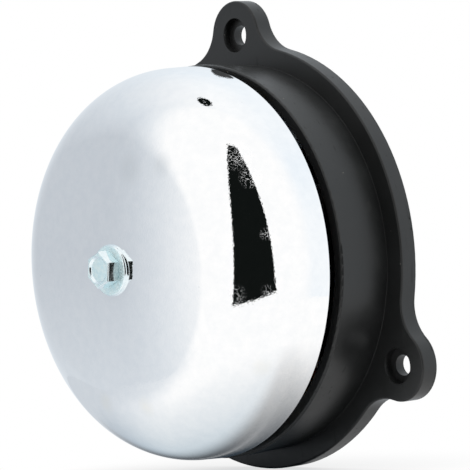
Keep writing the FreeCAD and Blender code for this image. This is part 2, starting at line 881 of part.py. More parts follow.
def leaf_rivets():
    rivets = []
    head_top = armature_bottom - leaf_thickness
    for x in rivet_places_x:
        outline = (
            (0, armature_top),
            (rivet_radius, armature_top),
            (rivet_radius, head_top),
            (rivet_head_radius, head_top),
            (rivet_head_radius * rivet_crown_ratio, head_top - rivet_head_height),
            (0, head_top - rivet_head_height),
        )
        rivets.append(swung_back(turned_upright(outline, x, coil_depth)))
    return Part.makeCompound(rivets)


def contact_tip(x, depth, base, height):
    # Domed contact button; height is signed, so it can point up or down.
    outline = (
        (0, base),
        (contact_tip_radius, base),
        (contact_tip_radius, base + height / 2),
        (contact_tip_radius * contact_crown_ratio, base + height),
        (0, base + height),
    )
    return turned_upright(outline, x, depth)


def leaf_contact():
    return swung_back(contact_tip(contact_tip_x, coil_depth, contact_pad_z, -contact_tip_height))


def spring_pin():
    start = coil_depth - armature_width / 2
    end = start + spring_pin_reach
    outline = (
        (0, start),
        (spring_pin_radius, start),
        (spring_pin_radius, end),
        (spring_pin_head_radius, end),
        (spring_pin_head_radius, end + spring_pin_head_length),
        (0, end + spring_pin_head_length),
    )
    return swung_back(turned(outline, spring_pin_x, spring_pin_z))


def pivot_stud():
    groove = clip_depth, clip_depth + clip_thickness + 2 * clearance
    outline = (
        (0, chassis_back),
        (pivot_radius, chassis_back),
        (pivot_radius, groove[0]),
        (pivot_radius - clip_groove_depth, groove[0]),
        (pivot_radius - clip_groove_depth, groove[1]),
        (pivot_radius, groove[1]),
        (pivot_radius, groove[1] + stud_end),
        (0, groove[1] + stud_end),
    )
    return turned(outline, pivot_x, pivot_z)


def pivot_spacer():
    back = chassis_front
    front = hub_depth - pivot_side_play
    sleeve = disc(pivot_x, pivot_z, spacer_radius, back, front)
    return sleeve.cut(disc(pivot_x, pivot_z, pivot_radius + clearance, back, front))


def pivot_clip():
    back = clip_depth + clearance
    ring = disc(pivot_x, pivot_z, clip_radius, back, back + clip_thickness)
    neck = pivot_radius - clip_groove_depth + clearance
    ring = ring.cut(disc(pivot_x, pivot_z, neck, back, back + clip_thickness))
    opening = block(
        (pivot_x, pivot_x + clip_radius + overcut),
        (back, back + clip_thickness),
        about(pivot_z, clip_opening / 2),
    )
    return ring.cut(opening)


def spring_post():
    neck = about(coil_depth, post_neck_half_length)
    outline = (
        (0, chassis_back),
        (spring_pin_radius, chassis_back),
        (spring_pin_radius, chassis_front),
        (post_radius, chassis_front),
        (post_radius, neck[0]),
        (spring_pin_radius, neck[0]),
        (spring_pin_radius, neck[1]),
        (post_head_radius, neck[1]),
        (post_head_radius, neck[1] + post_head_thickness),
        (0, neck[1] + post_head_thickness),
    )
    return turned(outline, spring_x, post_z)


def return_spring():
    # Close-wound extension spring: a stack of round turns with an arch at each end.
    loop_inner = spring_radius - spring_wire_radius
    loop_offset = loop_inner - spring_pin_radius - spring_hook_play
    top_centre = spring_pin_rest_z - loop_offset
    bottom_centre = post_z + loop_offset
    top = top_centre - spring_loop_leg
    bottom = bottom_centre + spring_loop_leg
    turns = int((top - bottom) / (2 * spring_wire_radius))
    pitch = (top - bottom) / turns
    edges = []
    inner = spring_radius - spring_wire_radius / 2
    for index in range(turns):
        low = FreeCAD.Vector(spring_radius, 0, bottom + index * pitch)
        high = FreeCAD.Vector(spring_radius, 0, bottom + (index + 1) * pitch)
        crest = FreeCAD.Vector(spring_radius + spring_wire_radius, 0, (low.z + high.z) / 2)
        edges.append(Part.Arc(low, crest, high).toShape())
    inner_top = FreeCAD.Vector(inner, 0, top)
    inner_bottom = FreeCAD.Vector(inner, 0, bottom)
    edges.append(Part.LineSegment(high, inner_top).toShape())
    edges.append(Part.LineSegment(inner_top, inner_bottom).toShape())
    edges.append(Part.LineSegment(inner_bottom, FreeCAD.Vector(spring_radius, 0, bottom)).toShape())
    spring = Part.Face(Part.Wire(edges)).revolve(FreeCAD.Vector(0, 0, 0), upwards, 360)
    for centre, end, side in ((top_centre, top, 1), (bottom_centre, bottom, -1)):
        spring = spring.fuse(spring_loop(centre, end, side))
    spring.translate(at(spring_x, coil_depth, 0))
    return spring


def spring_loop(centre, end, side):
    left = FreeCAD.Vector(-spring_radius, 0, end - side * spring_wire_radius)
    left_top = FreeCAD.Vector(-spring_radius, 0, centre)
    crown = FreeCAD.Vector(0, 0, centre + side * spring_radius)
    right_top = FreeCAD.Vector(spring_radius, 0, centre)
    right = FreeCAD.Vector(spring_radius, 0, end - side * spring_wire_radius)
    path = Part.Wire(
        [
            Part.LineSegment(left, left_top).toShape(),
            Part.Arc(left_top, crown, right_top).toShape(),
            Part.LineSegment(right_top, right).toShape(),
        ]
    )
    section = Part.Wire(Part.makeCircle(spring_wire_radius, left, upwards))
    return path.makePipeShell([section], True, False)


def contact_pillar():
    # Brass block that carries the contact screw, with a foot for its own screw.
    back = chassis_front + insulator_thickness
    front = coil_depth + contact_block_front
    foot_front = back + contact_foot_thickness
    z_range = about(contact_block_z, contact_block_height / 2)
    upright = block(about(contact_x, contact_block_width / 2), (back, front), z_range)
    foot = block((contact_x, contact_foot_end), (back, foot_front), z_range)
    body = upright.fuse(foot).removeSplitter()
    bore = rod_up(contact_x, coil_depth, contact_screw_radius + clearance, z_range[0], z_range[1])
    hole = disc(contact_foot_screw_x, contact_block_z, bush_radius + clearance, back, foot_front)
    return body.cut(bore).cut(hole)


def contact_insulator():
    front = chassis_front + insulator_thickness
    left = contact_x - contact_block_width / 2 - insulator_margin
    plate = block(
        (left, contact_foot_end + insulator_margin),
        (chassis_front, front),
        about(contact_block_z, contact_block_height / 2 + insulator_margin),
    )
    hole_radius = small_screw_radius + clearance
    return plate.cut(disc(contact_foot_screw_x, contact_block_z, hole_radius, chassis_front, front))


def contact_bush():
    back = chassis_front + insulator_thickness
    seat = back + contact_foot_thickness
    bore = small_screw_radius + clearance
    outline = (
        (bore, back),
        (bush_radius, back),
        (bush_radius, seat),
        (bush_flange_radius, seat),
        (bush_flange_radius, seat + bush_flange_thickness),
        (bore, seat + bush_flange_thickness),
    )
    return turned(outline, contact_foot_screw_x, contact_block_z)


def contact_screw():
    knob_low = knob_top - contact_knob_height
    outline = (
        (0, knob_low),
        (contact_knob_radius - knob_chamfer, knob_low),
        (contact_knob_radius, knob_low + knob_chamfer),
        (contact_knob_radius, knob_top - knob_chamfer),
        (contact_knob_radius - knob_chamfer, knob_top),
        (contact_screw_radius, knob_top),
        (contact_screw_radius, screw_contact_base),
        (0, screw_contact_base),
    )
    screw = turned_upright(outline, contact_x, coil_depth)
    slot = block(
        about(contact_x, contact_knob_radius + overcut),
        about(coil_depth, knob_slot_width / 2),
        (knob_low - overcut, knob_low + knob_slot_depth),
    )
    return screw.cut(slot)


def contact_locknut():
    top = contact_block_z - contact_block_height / 2
    low = top - nut_thickness
    nut = hexagon(nut_across_flats, at(contact_x, coil_depth, low), upwards, nut_thickness)
    return nut.cut(rod_up(contact_x, coil_depth, contact_screw_radius + clearance, low, top))


def terminal_poles_z():
    return about(terminal_z, terminal_pitch / 2)


def clamp_screws_x():
    return about(terminal_centre_x, clamp_screw_spacing / 2)


def terminal_block():
    front = floor_depth + terminal_rise
    right = terminal_x + terminal_width
    body = block(
        (terminal_x, right),
        (floor_depth, front),
        about(terminal_z, terminal_height / 2),
    )
    body = rounded(body, block_edge_round, lambda edge: abs(edge.CenterOfMass.y + floor_depth) > clearance)
    well_radius = clamp_screw_head_radius + 3 * clearance
    for pole_z_place in terminal_poles_z():
        tube_bed = rod_across(tube_depth, pole_z_place, tube_radius + clearance, terminal_x, right)
        body = body.cut(tube_bed)
        for x in clamp_screws_x():
            body = body.cut(disc(x, pole_z_place, well_radius, tube_depth, front))
    head_radius = small_screw_radius * pan_head_ratio + 3 * clearance
    hole_radius = small_screw_radius + clearance
    body = body.cut(disc(terminal_centre_x, terminal_z, hole_radius, floor_depth, front))
    return body.cut(disc(terminal_centre_x, terminal_z, head_radius, front - fixing_screw_sink, front))


def terminal_tubes():
    tubes = []
    left = terminal_x + tube_end_margin
    right = terminal_x + terminal_width - tube_end_margin
    outside = tube_depth + tube_radius + overcut
    for pole_z_place in terminal_poles_z():
        tube = rod_across(tube_depth, pole_z_place, tube_radius, left, right)
        tube = tube.cut(rod_across(tube_depth, pole_z_place, tube_bore_radius, left, right))
        for x in clamp_screws_x():
            tube = tube.cut(disc(x, pole_z_place, clamp_screw_radius + clearance, tube_depth, outside))
        tubes.append(tube)
    return Part.makeCompound(tubes)


def terminal_screws():
    screws = []
    seat = tube_depth + tube_radius + clamp_screw_rise
    tip = tube_depth + clamp_screw_sink
    top = seat + clamp_screw_head_height
    outline = (
        (0, tip),
        (clamp_screw_radius, tip),
        (clamp_screw_radius, seat),
        (clamp_screw_head_radius, seat),
        (clamp_screw_head_radius, top),
        (0, top),
    )
    for pole_z_place in terminal_poles_z():
        for x in clamp_screws_x():
            slot = block(
                about(x, clamp_screw_head_radius + overcut),
                (top - clamp_slot_depth, top + overcut),
                about(pole_z_place, clamp_slot_width / 2),
            )
            screws.append(turned(outline, x, pole_z_place).cut(slot))
    return Part.makeCompound(screws)


def cable_grommet():
    # Rubber ring whose groove grips the edge of the floor.
    back = recess_depth - grommet_back_flange
    front = floor_depth + grommet_front_flange
    outline = (
        (grommet_bore_radius, back),
        (grommet_flange_radius - grommet_back_chamfer, back),
        (grommet_flange_radius, back + grommet_back_chamfer),
        (grommet_flange_radius, recess_depth),
        (grommet_neck_radius, recess_depth),
        (grommet_neck_radius, floor_depth),
        (grommet_flange_radius, floor_depth),
        (grommet_flange_radius, front - grommet_front_chamfer),
        (grommet_flange_radius - grommet_front_chamfer, front),
        (grommet_bore_radius, front),
    )
    return turned(outline, grommet_x, grommet_z)


def frame_tag():
    # Solder tag: a ring under the screw with a tongue bent up from its edge.
    front = chassis_front + frame_tag_thickness
    ring = disc(frame_tag_x, frame_tag_z, frame_tag_radius, chassis_front, front)
    tongue = block(
        (frame_tag_x, tag_tongue_x + frame_tag_thickness / 2),
        (chassis_front, front),
        about(frame_tag_z, frame_tag_half_width),
    )
    upright = block(
        about(tag_tongue_x, frame_tag_thickness / 2),
        (chassis_front, chassis_front + frame_tag_reach),
        about(frame_tag_z, frame_tag_half_width),
    )
    tag = ring.fuse(tongue).fuse(upright).removeSplitter()
    hole_radius = small_screw_radius + clearance
    return tag.cut(disc(frame_tag_x, frame_tag_z, hole_radius, chassis_front, front))


# Places that need the functions above.
spring_pin_z = armature_bottom - spring_pin_drop
spring_x, spring_pin_rest_z = swung_back_point(spring_pin_x, spring_pin_z)
post_z = spring_pin_rest_z - spring_span
contact_x, contact_rest_z = swung_back_point(contact_tip_x, contact_pad_z - contact_tip_height)
screw_contact_top = contact_rest_z - contact_gap
screw_contact_base = screw_contact_top - contact_tip_height
contact_block_z = screw_contact_base - contact_block_drop - contact_block_height / 2
contact_foot_end = contact_x + contact_block_width / 2 + contact_foot_length
contact_foot_screw_x = contact_foot_end - contact_foot_length / 2
knob_top = contact_block_z - contact_block_height / 2 - nut_thickness - contact_knob_gap
yoke_screw_z = yoke_z + yoke_thickness + yoke_foot_length / 2
clip_depth = hub_depth + hub_width + pivot_side_play - clearance
solder_pin_z = yoke_z - clearance - tag_lug_height / 2
pin_tip = coil_depth + bobbin_flange_radius + tag_lug_reach - solder_pin_seat + solder_pin_length
pin_seat = pin_tip - solder_pin_length
tube_depth = floor_depth + tube_rise


def leads():
    # Insulated wires, each a route of points by hand from one terminal to the next.
    left_outer, left_inner = solder_pins_x(coil_places_x["left"])
    right_inner, right_outer = solder_pins_x(coil_places_x["right"])
    lower_pole, upper_pole = terminal_poles_z()
    wire_x = terminal_x - lead_side_gap
    in_tube_x = terminal_x + lead_stripped_length
    loop = pin_tip + lead_loop_height
    block_front = coil_depth + contact_block_front
    block_loop = block_front + lead_loop_height
    landing_x = contact_x + contact_block_width / 4
    routes = {
        "lead_supply": (
            at(in_tube_x, tube_depth, upper_pole),
            at(wire_x, tube_depth + lead_sway, upper_pole),
            at(wire_x - lead_sway, pin_tip - lead_turn, upper_pole + 2 * lead_sway),
            at(wire_x, loop, solder_pin_z + lead_sway),
            at(right_outer, loop, solder_pin_z),
            at(right_outer, pin_tip, solder_pin_z),
        ),
        "lead_link": (
            at(left_inner, pin_tip, solder_pin_z),
            at(left_inner, loop - lead_sway, solder_pin_z),
            at(0, loop + 3 * lead_sway, solder_pin_z + 3 * lead_sway),
            at(right_inner, loop - lead_sway, solder_pin_z),
            at(right_inner, pin_tip, solder_pin_z),
        ),
        "lead_frame": (
            at(left_outer, pin_tip, solder_pin_z),
            at(left_outer, loop, solder_pin_z),
            at(tag_tongue_x + lead_sway, loop - 2 * lead_sway, frame_tag_z + 4 * lead_sway),
            at(tag_tongue_x, loop - lead_drop, frame_tag_z),
            at(tag_tongue_x, chassis_front + frame_tag_reach, frame_tag_z),
        ),
        "lead_contact": (
            at(in_tube_x, tube_depth, lower_pole),
            at(wire_x, tube_depth + lead_sway, lower_pole),
            at(wire_x + lead_sway, tube_depth + lead_turn / 2, contact_block_z + lead_drop),
            at(wire_x - lead_sway, block_loop, contact_block_z + 4 * lead_sway),
            at(landing_x, block_loop + lead_sway, contact_block_z),
            at(landing_x, block_front, contact_block_z),
        ),
    }
    return {name: bent_tube(name, lead_radius, points) for name, points in routes.items()}


def screws(places, seat, tip):
    return Part.makeCompound([pan_screw(x, z, small_screw_radius, seat, tip) for x, z in places])


def build():
    bolt_hole_radius = pillar_thread_radius + clearance
    pillar_screw_seat = pocket_depth - lock_washer_thickness
    pillar_screw_tip = pillar_screw_seat + pillar_screw_length
    tapped_tip = chassis_back - self_tapping_depth + screw_end_gap
    chassis_tip = chassis_back - screw_protrusion
    yoke_seat = chassis_front + yoke_thickness
    yoke_screw_places = [(x, yoke_screw_z) for x in about(0, yoke_screw_x)]
    bush_seat = chassis_front + insulator_thickness + contact_foot_thickness + bush_flange_thickness
    foot_screw_place = [(contact_foot_screw_x, contact_block_z)]
    tag_seat = chassis_front + frame_tag_thickness
    fixing_seat = floor_depth + terminal_rise - fixing_screw_sink
    fixing_tip = recess_depth + blind_hole_skin + screw_end_gap
    nodes = {
        "base_moulding": base_moulding(),
        "gong": gong(),
        "gong_washer": washer(gong_washer_radius, bolt_hole_radius, gong_top, gong_washer_thickness),
        "gong_bolt": gong_bolt(),
        "gong_seat_washer": washer(
            seat_washer_radius, bolt_hole_radius, pillar_front, seat_washer_thickness
        ),
        "gong_pillar": gong_pillar(),
        "pillar_lock_washer": lock_washer(),
        "pillar_screw": pan_screw(0, 0, pillar_thread_radius, pillar_screw_seat, pillar_screw_tip),
        "chassis_plate": chassis_plate(),
        "chassis_screws": screws(chassis_screw_places(), chassis_front, tapped_tip),
        "yoke": yoke(),
        "yoke_screws": screws(yoke_screw_places, yoke_seat, chassis_tip),
        "solder_pins": solder_pins(),
        "armature": armature(),
        "pivot_stud": pivot_stud(),
        "pivot_spacer": pivot_spacer(),
        "pivot_clip": pivot_clip(),
        "hammer_rod": hammer_rod(),
        "hammer_head": hammer_head(),
        "contact_leaf": contact_leaf(),
        "leaf_rivets": leaf_rivets(),
        "leaf_contact": leaf_contact(),
        "spring_pin": spring_pin(),
        "spring_post": spring_post(),
        "return_spring": return_spring(),
        "contact_pillar": contact_pillar(),
        "contact_insulator": contact_insulator(),
        "contact_bush": contact_bush(),
        "contact_foot_screw": screws(foot_screw_place, bush_seat, chassis_tip),
        "contact_screw": contact_screw(),
        "screw_contact": contact_tip(contact_x, coil_depth, screw_contact_base, contact_tip_height),
        "contact_locknut": contact_locknut(),
        "terminal_block": terminal_block(),
        "terminal_tubes": terminal_tubes(),
        "terminal_screws": terminal_screws(),
        "terminal_fixing_screw": screws([(terminal_centre_x, terminal_z)], fixing_seat, fixing_tip),
        "cable_grommet": cable_grommet(),
        "frame_tag": frame_tag(),
        "frame_tag_screw": screws([(frame_tag_x, frame_tag_z)], tag_seat, chassis_tip),
    }
    for side, x in coil_places_x.items():
        nodes["core_" + side] = core(x)
        nodes["bobbin_" + side] = bobbin(x)
        nodes["winding_" + side] = winding(x)
    nodes.update(leads())
    return nodes


os.makedirs("parts", exist_ok=True)
for node, shape in build().items():
    shape.exportStep("parts/" + node + ".step")
    print(node, "solids", len(shape.Solids), "volume", round(shape.Volume, 1), "valid", shape.isValid())
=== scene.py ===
import json
import math

import bmesh
import bpy
import numpy as np
from mathutils import Matrix, Vector


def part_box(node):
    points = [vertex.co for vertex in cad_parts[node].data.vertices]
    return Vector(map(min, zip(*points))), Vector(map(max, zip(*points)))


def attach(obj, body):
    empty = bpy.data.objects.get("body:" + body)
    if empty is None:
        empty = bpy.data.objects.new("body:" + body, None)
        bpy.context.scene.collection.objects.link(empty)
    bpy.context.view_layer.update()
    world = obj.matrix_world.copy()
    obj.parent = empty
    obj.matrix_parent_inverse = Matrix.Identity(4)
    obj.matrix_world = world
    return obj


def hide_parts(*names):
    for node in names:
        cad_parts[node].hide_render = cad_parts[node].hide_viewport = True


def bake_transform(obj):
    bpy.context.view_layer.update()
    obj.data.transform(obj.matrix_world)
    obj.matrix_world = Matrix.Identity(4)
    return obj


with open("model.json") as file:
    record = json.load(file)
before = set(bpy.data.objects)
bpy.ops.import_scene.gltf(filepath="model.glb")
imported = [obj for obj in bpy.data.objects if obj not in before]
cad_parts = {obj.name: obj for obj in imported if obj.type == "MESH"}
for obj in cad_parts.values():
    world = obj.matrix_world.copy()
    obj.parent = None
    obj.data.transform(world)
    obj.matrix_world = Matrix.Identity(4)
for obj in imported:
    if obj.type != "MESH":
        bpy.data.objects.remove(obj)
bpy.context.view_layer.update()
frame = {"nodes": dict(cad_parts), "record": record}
mm = 0.001
weldReach, sliver = 2e-6, 1e-7  # points closer than the first merge, edges shorter than the second go
white = (1.0, 1.0, 1.0, 1.0)
print("frame loaded:", len(frame["nodes"]), "nodes")


# Small tools that every piece uses

def toLinear(hexColour):
    # sRGB hex to linear: each channel to the power 2.4 above the toe, a straight line below it
    channels = np.array([int(hexColour[i:i + 2], 16) / 255 for i in (1, 3, 5)])
    linear = np.where(channels > 0.04045, ((channels + 0.055) / 1.055) ** 2.4, channels / 12.92)
    return (*linear.tolist(), 1.0)


def addNode(tree, kind, settings=None, links=None):
    # settings go to the node's own properties or, failing that, to its inputs; links join sockets
    node = tree.nodes.new(kind)
    for key, value in (settings or {}).items():
        if isinstance(key, str) and hasattr(node, key):
            setattr(node, key, value)
        else:
            node.inputs[key].default_value = value
    for key, socket in (links or {}).items():
        tree.links.new(socket, node.inputs[key])
    return node


def emptyTree(owner):
    # The node tree of a material or world, cleared for new nodes
    owner.use_nodes = True
    owner.node_tree.nodes.clear()
    return owner.node_tree


def addObject(name, data):
    # A new object that the scene shows
    thing = bpy.data.objects.new(name, data)
    bpy.context.scene.collection.objects.link(thing)
    return thing


def gridMesh(name, grid, faces):
    # Points (rows, columns, 3) and four-cornered faces, numbered row by row, as a mesh
    mesh = bpy.data.meshes.new(name)
    mesh.from_pydata(grid.reshape(-1, 3).tolist(), [], faces.reshape(-1, 4).tolist())
    return mesh


def finishMesh(name, mesh, smoothAngle=35, outwards=True):
    # Merge doubles, close the winding, smooth what is meant to be round
    for layer in ("custom_normal", "sharp_edge", "sharp_face"):
        if layer in mesh.attributes:
            mesh.attributes.remove(mesh.attributes[layer])
    work = bmesh.new()
    work.from_mesh(mesh)
    bmesh.ops.remove_doubles(work, verts=work.verts, dist=weldReach)
    bmesh.ops.dissolve_degenerate(work, edges=work.edges, dist=sliver)
    if outwards:
        bmesh.ops.recalc_face_normals(work, faces=work.faces)
    work.to_mesh(mesh)
    work.free()
    mesh.shade_smooth()
    mesh.set_sharp_from_angle(angle=math.radians(smoothAngle))
    return addObject(name, mesh)


def ringMesh(name, grid, closed=True, smoothAngle=35):
    # A sheet of points (rows, columns, 3) whose columns close into rings; closed also joins the
    # last ring to the first, as on a hollow shell. Rings that shrink to a point become poles.
    rows, columns, _ = grid.shape
    index = np.arange(rows * columns).reshape(rows, columns)
    if closed:
        index = np.vstack([index, index[:1]])
    low, high = index[:-1], index[1:]
    faces = np.stack([low, np.roll(low, -1, 1), np.roll(high, -1, 1), high], axis=-1)
    return finishMesh(name, gridMesh(name, grid, faces), smoothAngle)


def roundAngles(columns):
    # Equal steps once round, in radians
    return np.linspace(0, 2 * math.pi, columns, endpoint=False)


def turnedFront(radius, depth, z=0.0):
    # Revolve about a line towards the room: radius (rows, columns) at the column's angle, -depth
    angle = roundAngles(radius.shape[1])
    return np.stack([
        radius * np.cos(angle), -depth + 0 * radius, z + radius * np.sin(angle),
    ], axis=-1) * mm


def turnedUpright(radius, height, x, depth):
    # Revolve about an upright line: radius (rows, columns) at the column's angle, at that height
    angle = roundAngles(radius.shape[1])
    return np.stack([
        x + radius * np.cos(angle), -depth + radius * np.sin(angle), height + 0 * radius,
    ], axis=-1) * mm


def spun(profile, columns):
    # Profile of (radius, depth) rows as two arrays of (rows, columns)
    radius, depth = np.asarray(profile, float).T
    return np.repeat(radius[:, None], columns, 1), np.repeat(depth[:, None], columns, 1)


def arcPoints(centre, radius, start, end, count):
    # Points on a circular arc: centre + radius * (cos, sin), angles in degrees
    angle = np.radians(np.linspace(start, end, count))
    return np.stack([centre[0] + radius * np.cos(angle), centre[1] + radius * np.sin(angle)], -1)


def nodeBox(node):
    # Low and high corner of a node's box in mm, then the x and depth of its upright axis
    low, high = (np.array(corner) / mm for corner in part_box(node))
    return low, high, (low[0] + high[0]) / 2, -(low[1] + high[1]) / 2


def tubeGrid(path, outwards, radius, columns):
    # Carry a circle along a path: the path's direction crossed with the outward side gives the
    # second axis, and each ring is radius * (cos * outward + sin * second axis) about its point
    along = np.gradient(path, axis=0)
    along /= np.linalg.norm(along, axis=1, keepdims=True)
    side = np.cross(along, outwards)
    side /= np.linalg.norm(side, axis=1, keepdims=True)
    outer = np.cross(side, along)
    angle = roundAngles(columns)[None, :, None]
    return (path[:, None] + radius[:, None, None] * (np.cos(angle) * outer[:, None]
                                                    + np.sin(angle) * side[:, None])) * mm


# Finishes

def nearPlaces(tree, place, places, core=0.3):
    # 1 near any of the places (x, y, z, reach in mm), out to the core's share of the reach, and 0
    # past the reach
    patch = None
    for x, y, z, reach in places:
        apart = addNode(tree, "ShaderNodeVectorMath",
                        {"operation": "DISTANCE", 1: (x * mm, y * mm, z * mm)},
                        {0: place.outputs["Object"]})
        near = addNode(tree, "ShaderNodeMapRange",
                       {"From Min": reach * mm, "From Max": reach * core * mm},
                       {"Value": apart.outputs["Value"]}).outputs["Result"]
        patch = near if patch is None else addNode(
            tree, "ShaderNodeMath", {"operation": "MAXIMUM"}, {0: patch, 1: near}).outputs["Value"]
    return patch


def makeFinish(look):
    # Two tones and two gloss levels wander with a slow cloud; a finer grain, stretched the way the
    # surface was worked, gives the relief; dents, specks, stains, scuffs and a dried film are added
    # where the look has them. Sizes are in mm.
    material = bpy.data.materials.new(look["name"])
    tree = emptyTree(material)
    place = addNode(tree, "ShaderNodeTexCoord")
    stretch = addNode(tree, "ShaderNodeMapping", {"Scale": look.get("stretch", (1, 1, 1))},
                      {"Vector": place.outputs["Object"]})
    cloud = addNode(tree, "ShaderNodeTexNoise",
                    {"Scale": 1 / (look["cloudSize"] * mm), "Detail": 4.0, "Roughness": 0.6},
                    {"Vector": place.outputs["Object"]})
    grain = addNode(tree, "ShaderNodeTexNoise",
                    {"Scale": 1 / (look["grainSize"] * mm), "Detail": 3.0, "Roughness": 0.55},
                    {"Vector": stretch.outputs["Vector"]})
    tone = addNode(tree, "ShaderNodeMapRange", {"From Min": 0.35, "From Max": 0.65},
                   {"Value": cloud.outputs["Fac"]})
    colour = addNode(tree, "ShaderNodeMix",
                     {"data_type": "RGBA", 6: toLinear(look["dark"]), 7: toLinear(look["light"])},
                     {0: tone.outputs["Result"]}).outputs[2]
    gloss = addNode(tree, "ShaderNodeMapRange",
                    {"From Min": 0.3, "From Max": 0.7, "To Min": look["rough"][0],
                     "To Max": look["rough"][1]}, {"Value": cloud.outputs["Fac"]}).outputs["Result"]
    relief = addNode(tree, "ShaderNodeBump", {"Strength": 1.0, "Distance": look["relief"] * mm},
                     {"Height": grain.outputs["Fac"]}).outputs["Normal"]
    if "dents" in look:
        hollows = addNode(tree, "ShaderNodeTexNoise",
                          {"Scale": 1 / (look["dents"]["size"] * mm), "Detail": 1.0},
                          {"Vector": place.outputs["Object"]})
        relief = addNode(tree, "ShaderNodeBump",
                         {"Strength": 1.0, "Distance": look["dents"]["depth"] * mm},
                         {"Height": hollows.outputs["Fac"], "Normal": relief}).outputs["Normal"]
    if "specks" in look:
        # a speck lies where the surface passes within its radius of a cell's centre, and is at
        # full strength within the core's share of that
        cells = addNode(tree, "ShaderNodeTexVoronoi",
                        {"Scale": 1 / (look["specks"]["spacing"] * mm), "Randomness": 1.0},
                        {"Vector": place.outputs["Object"]})
        reach = look["specks"]["radius"] / look["specks"]["spacing"]
        inside = addNode(tree, "ShaderNodeMapRange",
                         {"From Min": reach, "From Max": reach * look["specks"]["core"],
                          "To Min": 0.0, "To Max": look["specks"]["strength"]},
                         {"Value": cells.outputs["Distance"]})
        colour = addNode(tree, "ShaderNodeMix",
                         {"data_type": "RGBA", 7: toLinear(look["specks"]["colour"])},
                         {0: inside.outputs["Result"], 6: colour}).outputs[2]
    for stain in look.get("stains", ()):
        # a thumbed patch: the cloud breaks up its edge, and it tints the metal a little
        patch = addNode(tree, "ShaderNodeMath", {"operation": "MULTIPLY"},
                        {0: nearPlaces(tree, place, stain["places"]), 1: cloud.outputs["Fac"]})
        colour = addNode(tree, "ShaderNodeMix",
                         {"data_type": "RGBA", "blend_type": "MULTIPLY", 7: toLinear(stain["colour"])},
                         {0: patch.outputs["Value"], 6: colour}).outputs[2]
    if "scuffs" in look:
        # handling marks: noise drawn out one way, kept only at its peaks, duller than the rest
        drawn = addNode(tree, "ShaderNodeMapping", {"Scale": look["scuffs"]["stretch"],
                                                    "Rotation": (0.4, 0.9, 0.3)},
                        {"Vector": place.outputs["Object"]})
        marks = addNode(tree, "ShaderNodeTexNoise",
                        {"Scale": 1 / (look["scuffs"]["size"] * mm), "Detail": 2.0},
                        {"Vector": drawn.outputs["Vector"]})
        peak = addNode(tree, "ShaderNodeMapRange",
                       {"From Min": look["scuffs"]["level"], "From Max": look["scuffs"]["full"]},
                       {"Value": marks.outputs["Fac"]})
        gloss = addNode(tree, "ShaderNodeMath",
                        {"operation": "MULTIPLY_ADD", 1: look["scuffs"]["dulling"]},
                        {0: peak.outputs["Result"], 2: gloss}).outputs["Value"]
    shader = addNode(tree, "ShaderNodeBsdfPrincipled", {"Metallic": look.get("metallic", 0.0)},
                     {"Base Color": colour, "Roughness": gloss, "Normal": relief})
    if "film" in look:
        # a curl is a contour line of a noise, kept near the places; the metal dulls by its cover
        noise = addNode(tree, "ShaderNodeTexNoise",
                        {"Scale": 1 / (look["film"]["size"] * mm), "Detail": 1.0},
                        {"Vector": place.outputs["Object"]})
        apart = addNode(tree, "ShaderNodeMath", {"operation": "SUBTRACT", 1: 0.5},
                        {0: noise.outputs["Fac"]})
        width = addNode(tree, "ShaderNodeMath", {"operation": "ABSOLUTE"}, {0: apart.outputs["Value"]})
        curl = addNode(tree, "ShaderNodeMapRange",
                       {"From Min": look["film"]["width"], "From Max": look["film"]["core"]},
                       {"Value": width.outputs["Value"]})
        dried = addNode(tree, "ShaderNodeMath", {"operation": "MULTIPLY"},
                        {0: curl.outputs["Result"], 1: nearPlaces(tree, place, look["film"]["places"])})
        metal = addNode(tree, "ShaderNodeMapRange",
                        {"To Min": 1.0, "To Max": 1 - look["film"]["cover"]},
                        {"Value": dried.outputs["Value"]})
        tree.links.new(metal.outputs["Result"], shader.inputs["Metallic"])
    for key, value in look.get("shader", {}).items():
        shader.inputs[key].default_value = value
    addNode(tree, "ShaderNodeOutputMaterial", None, {"Surface": shader.outputs["BSDF"]})
    return material


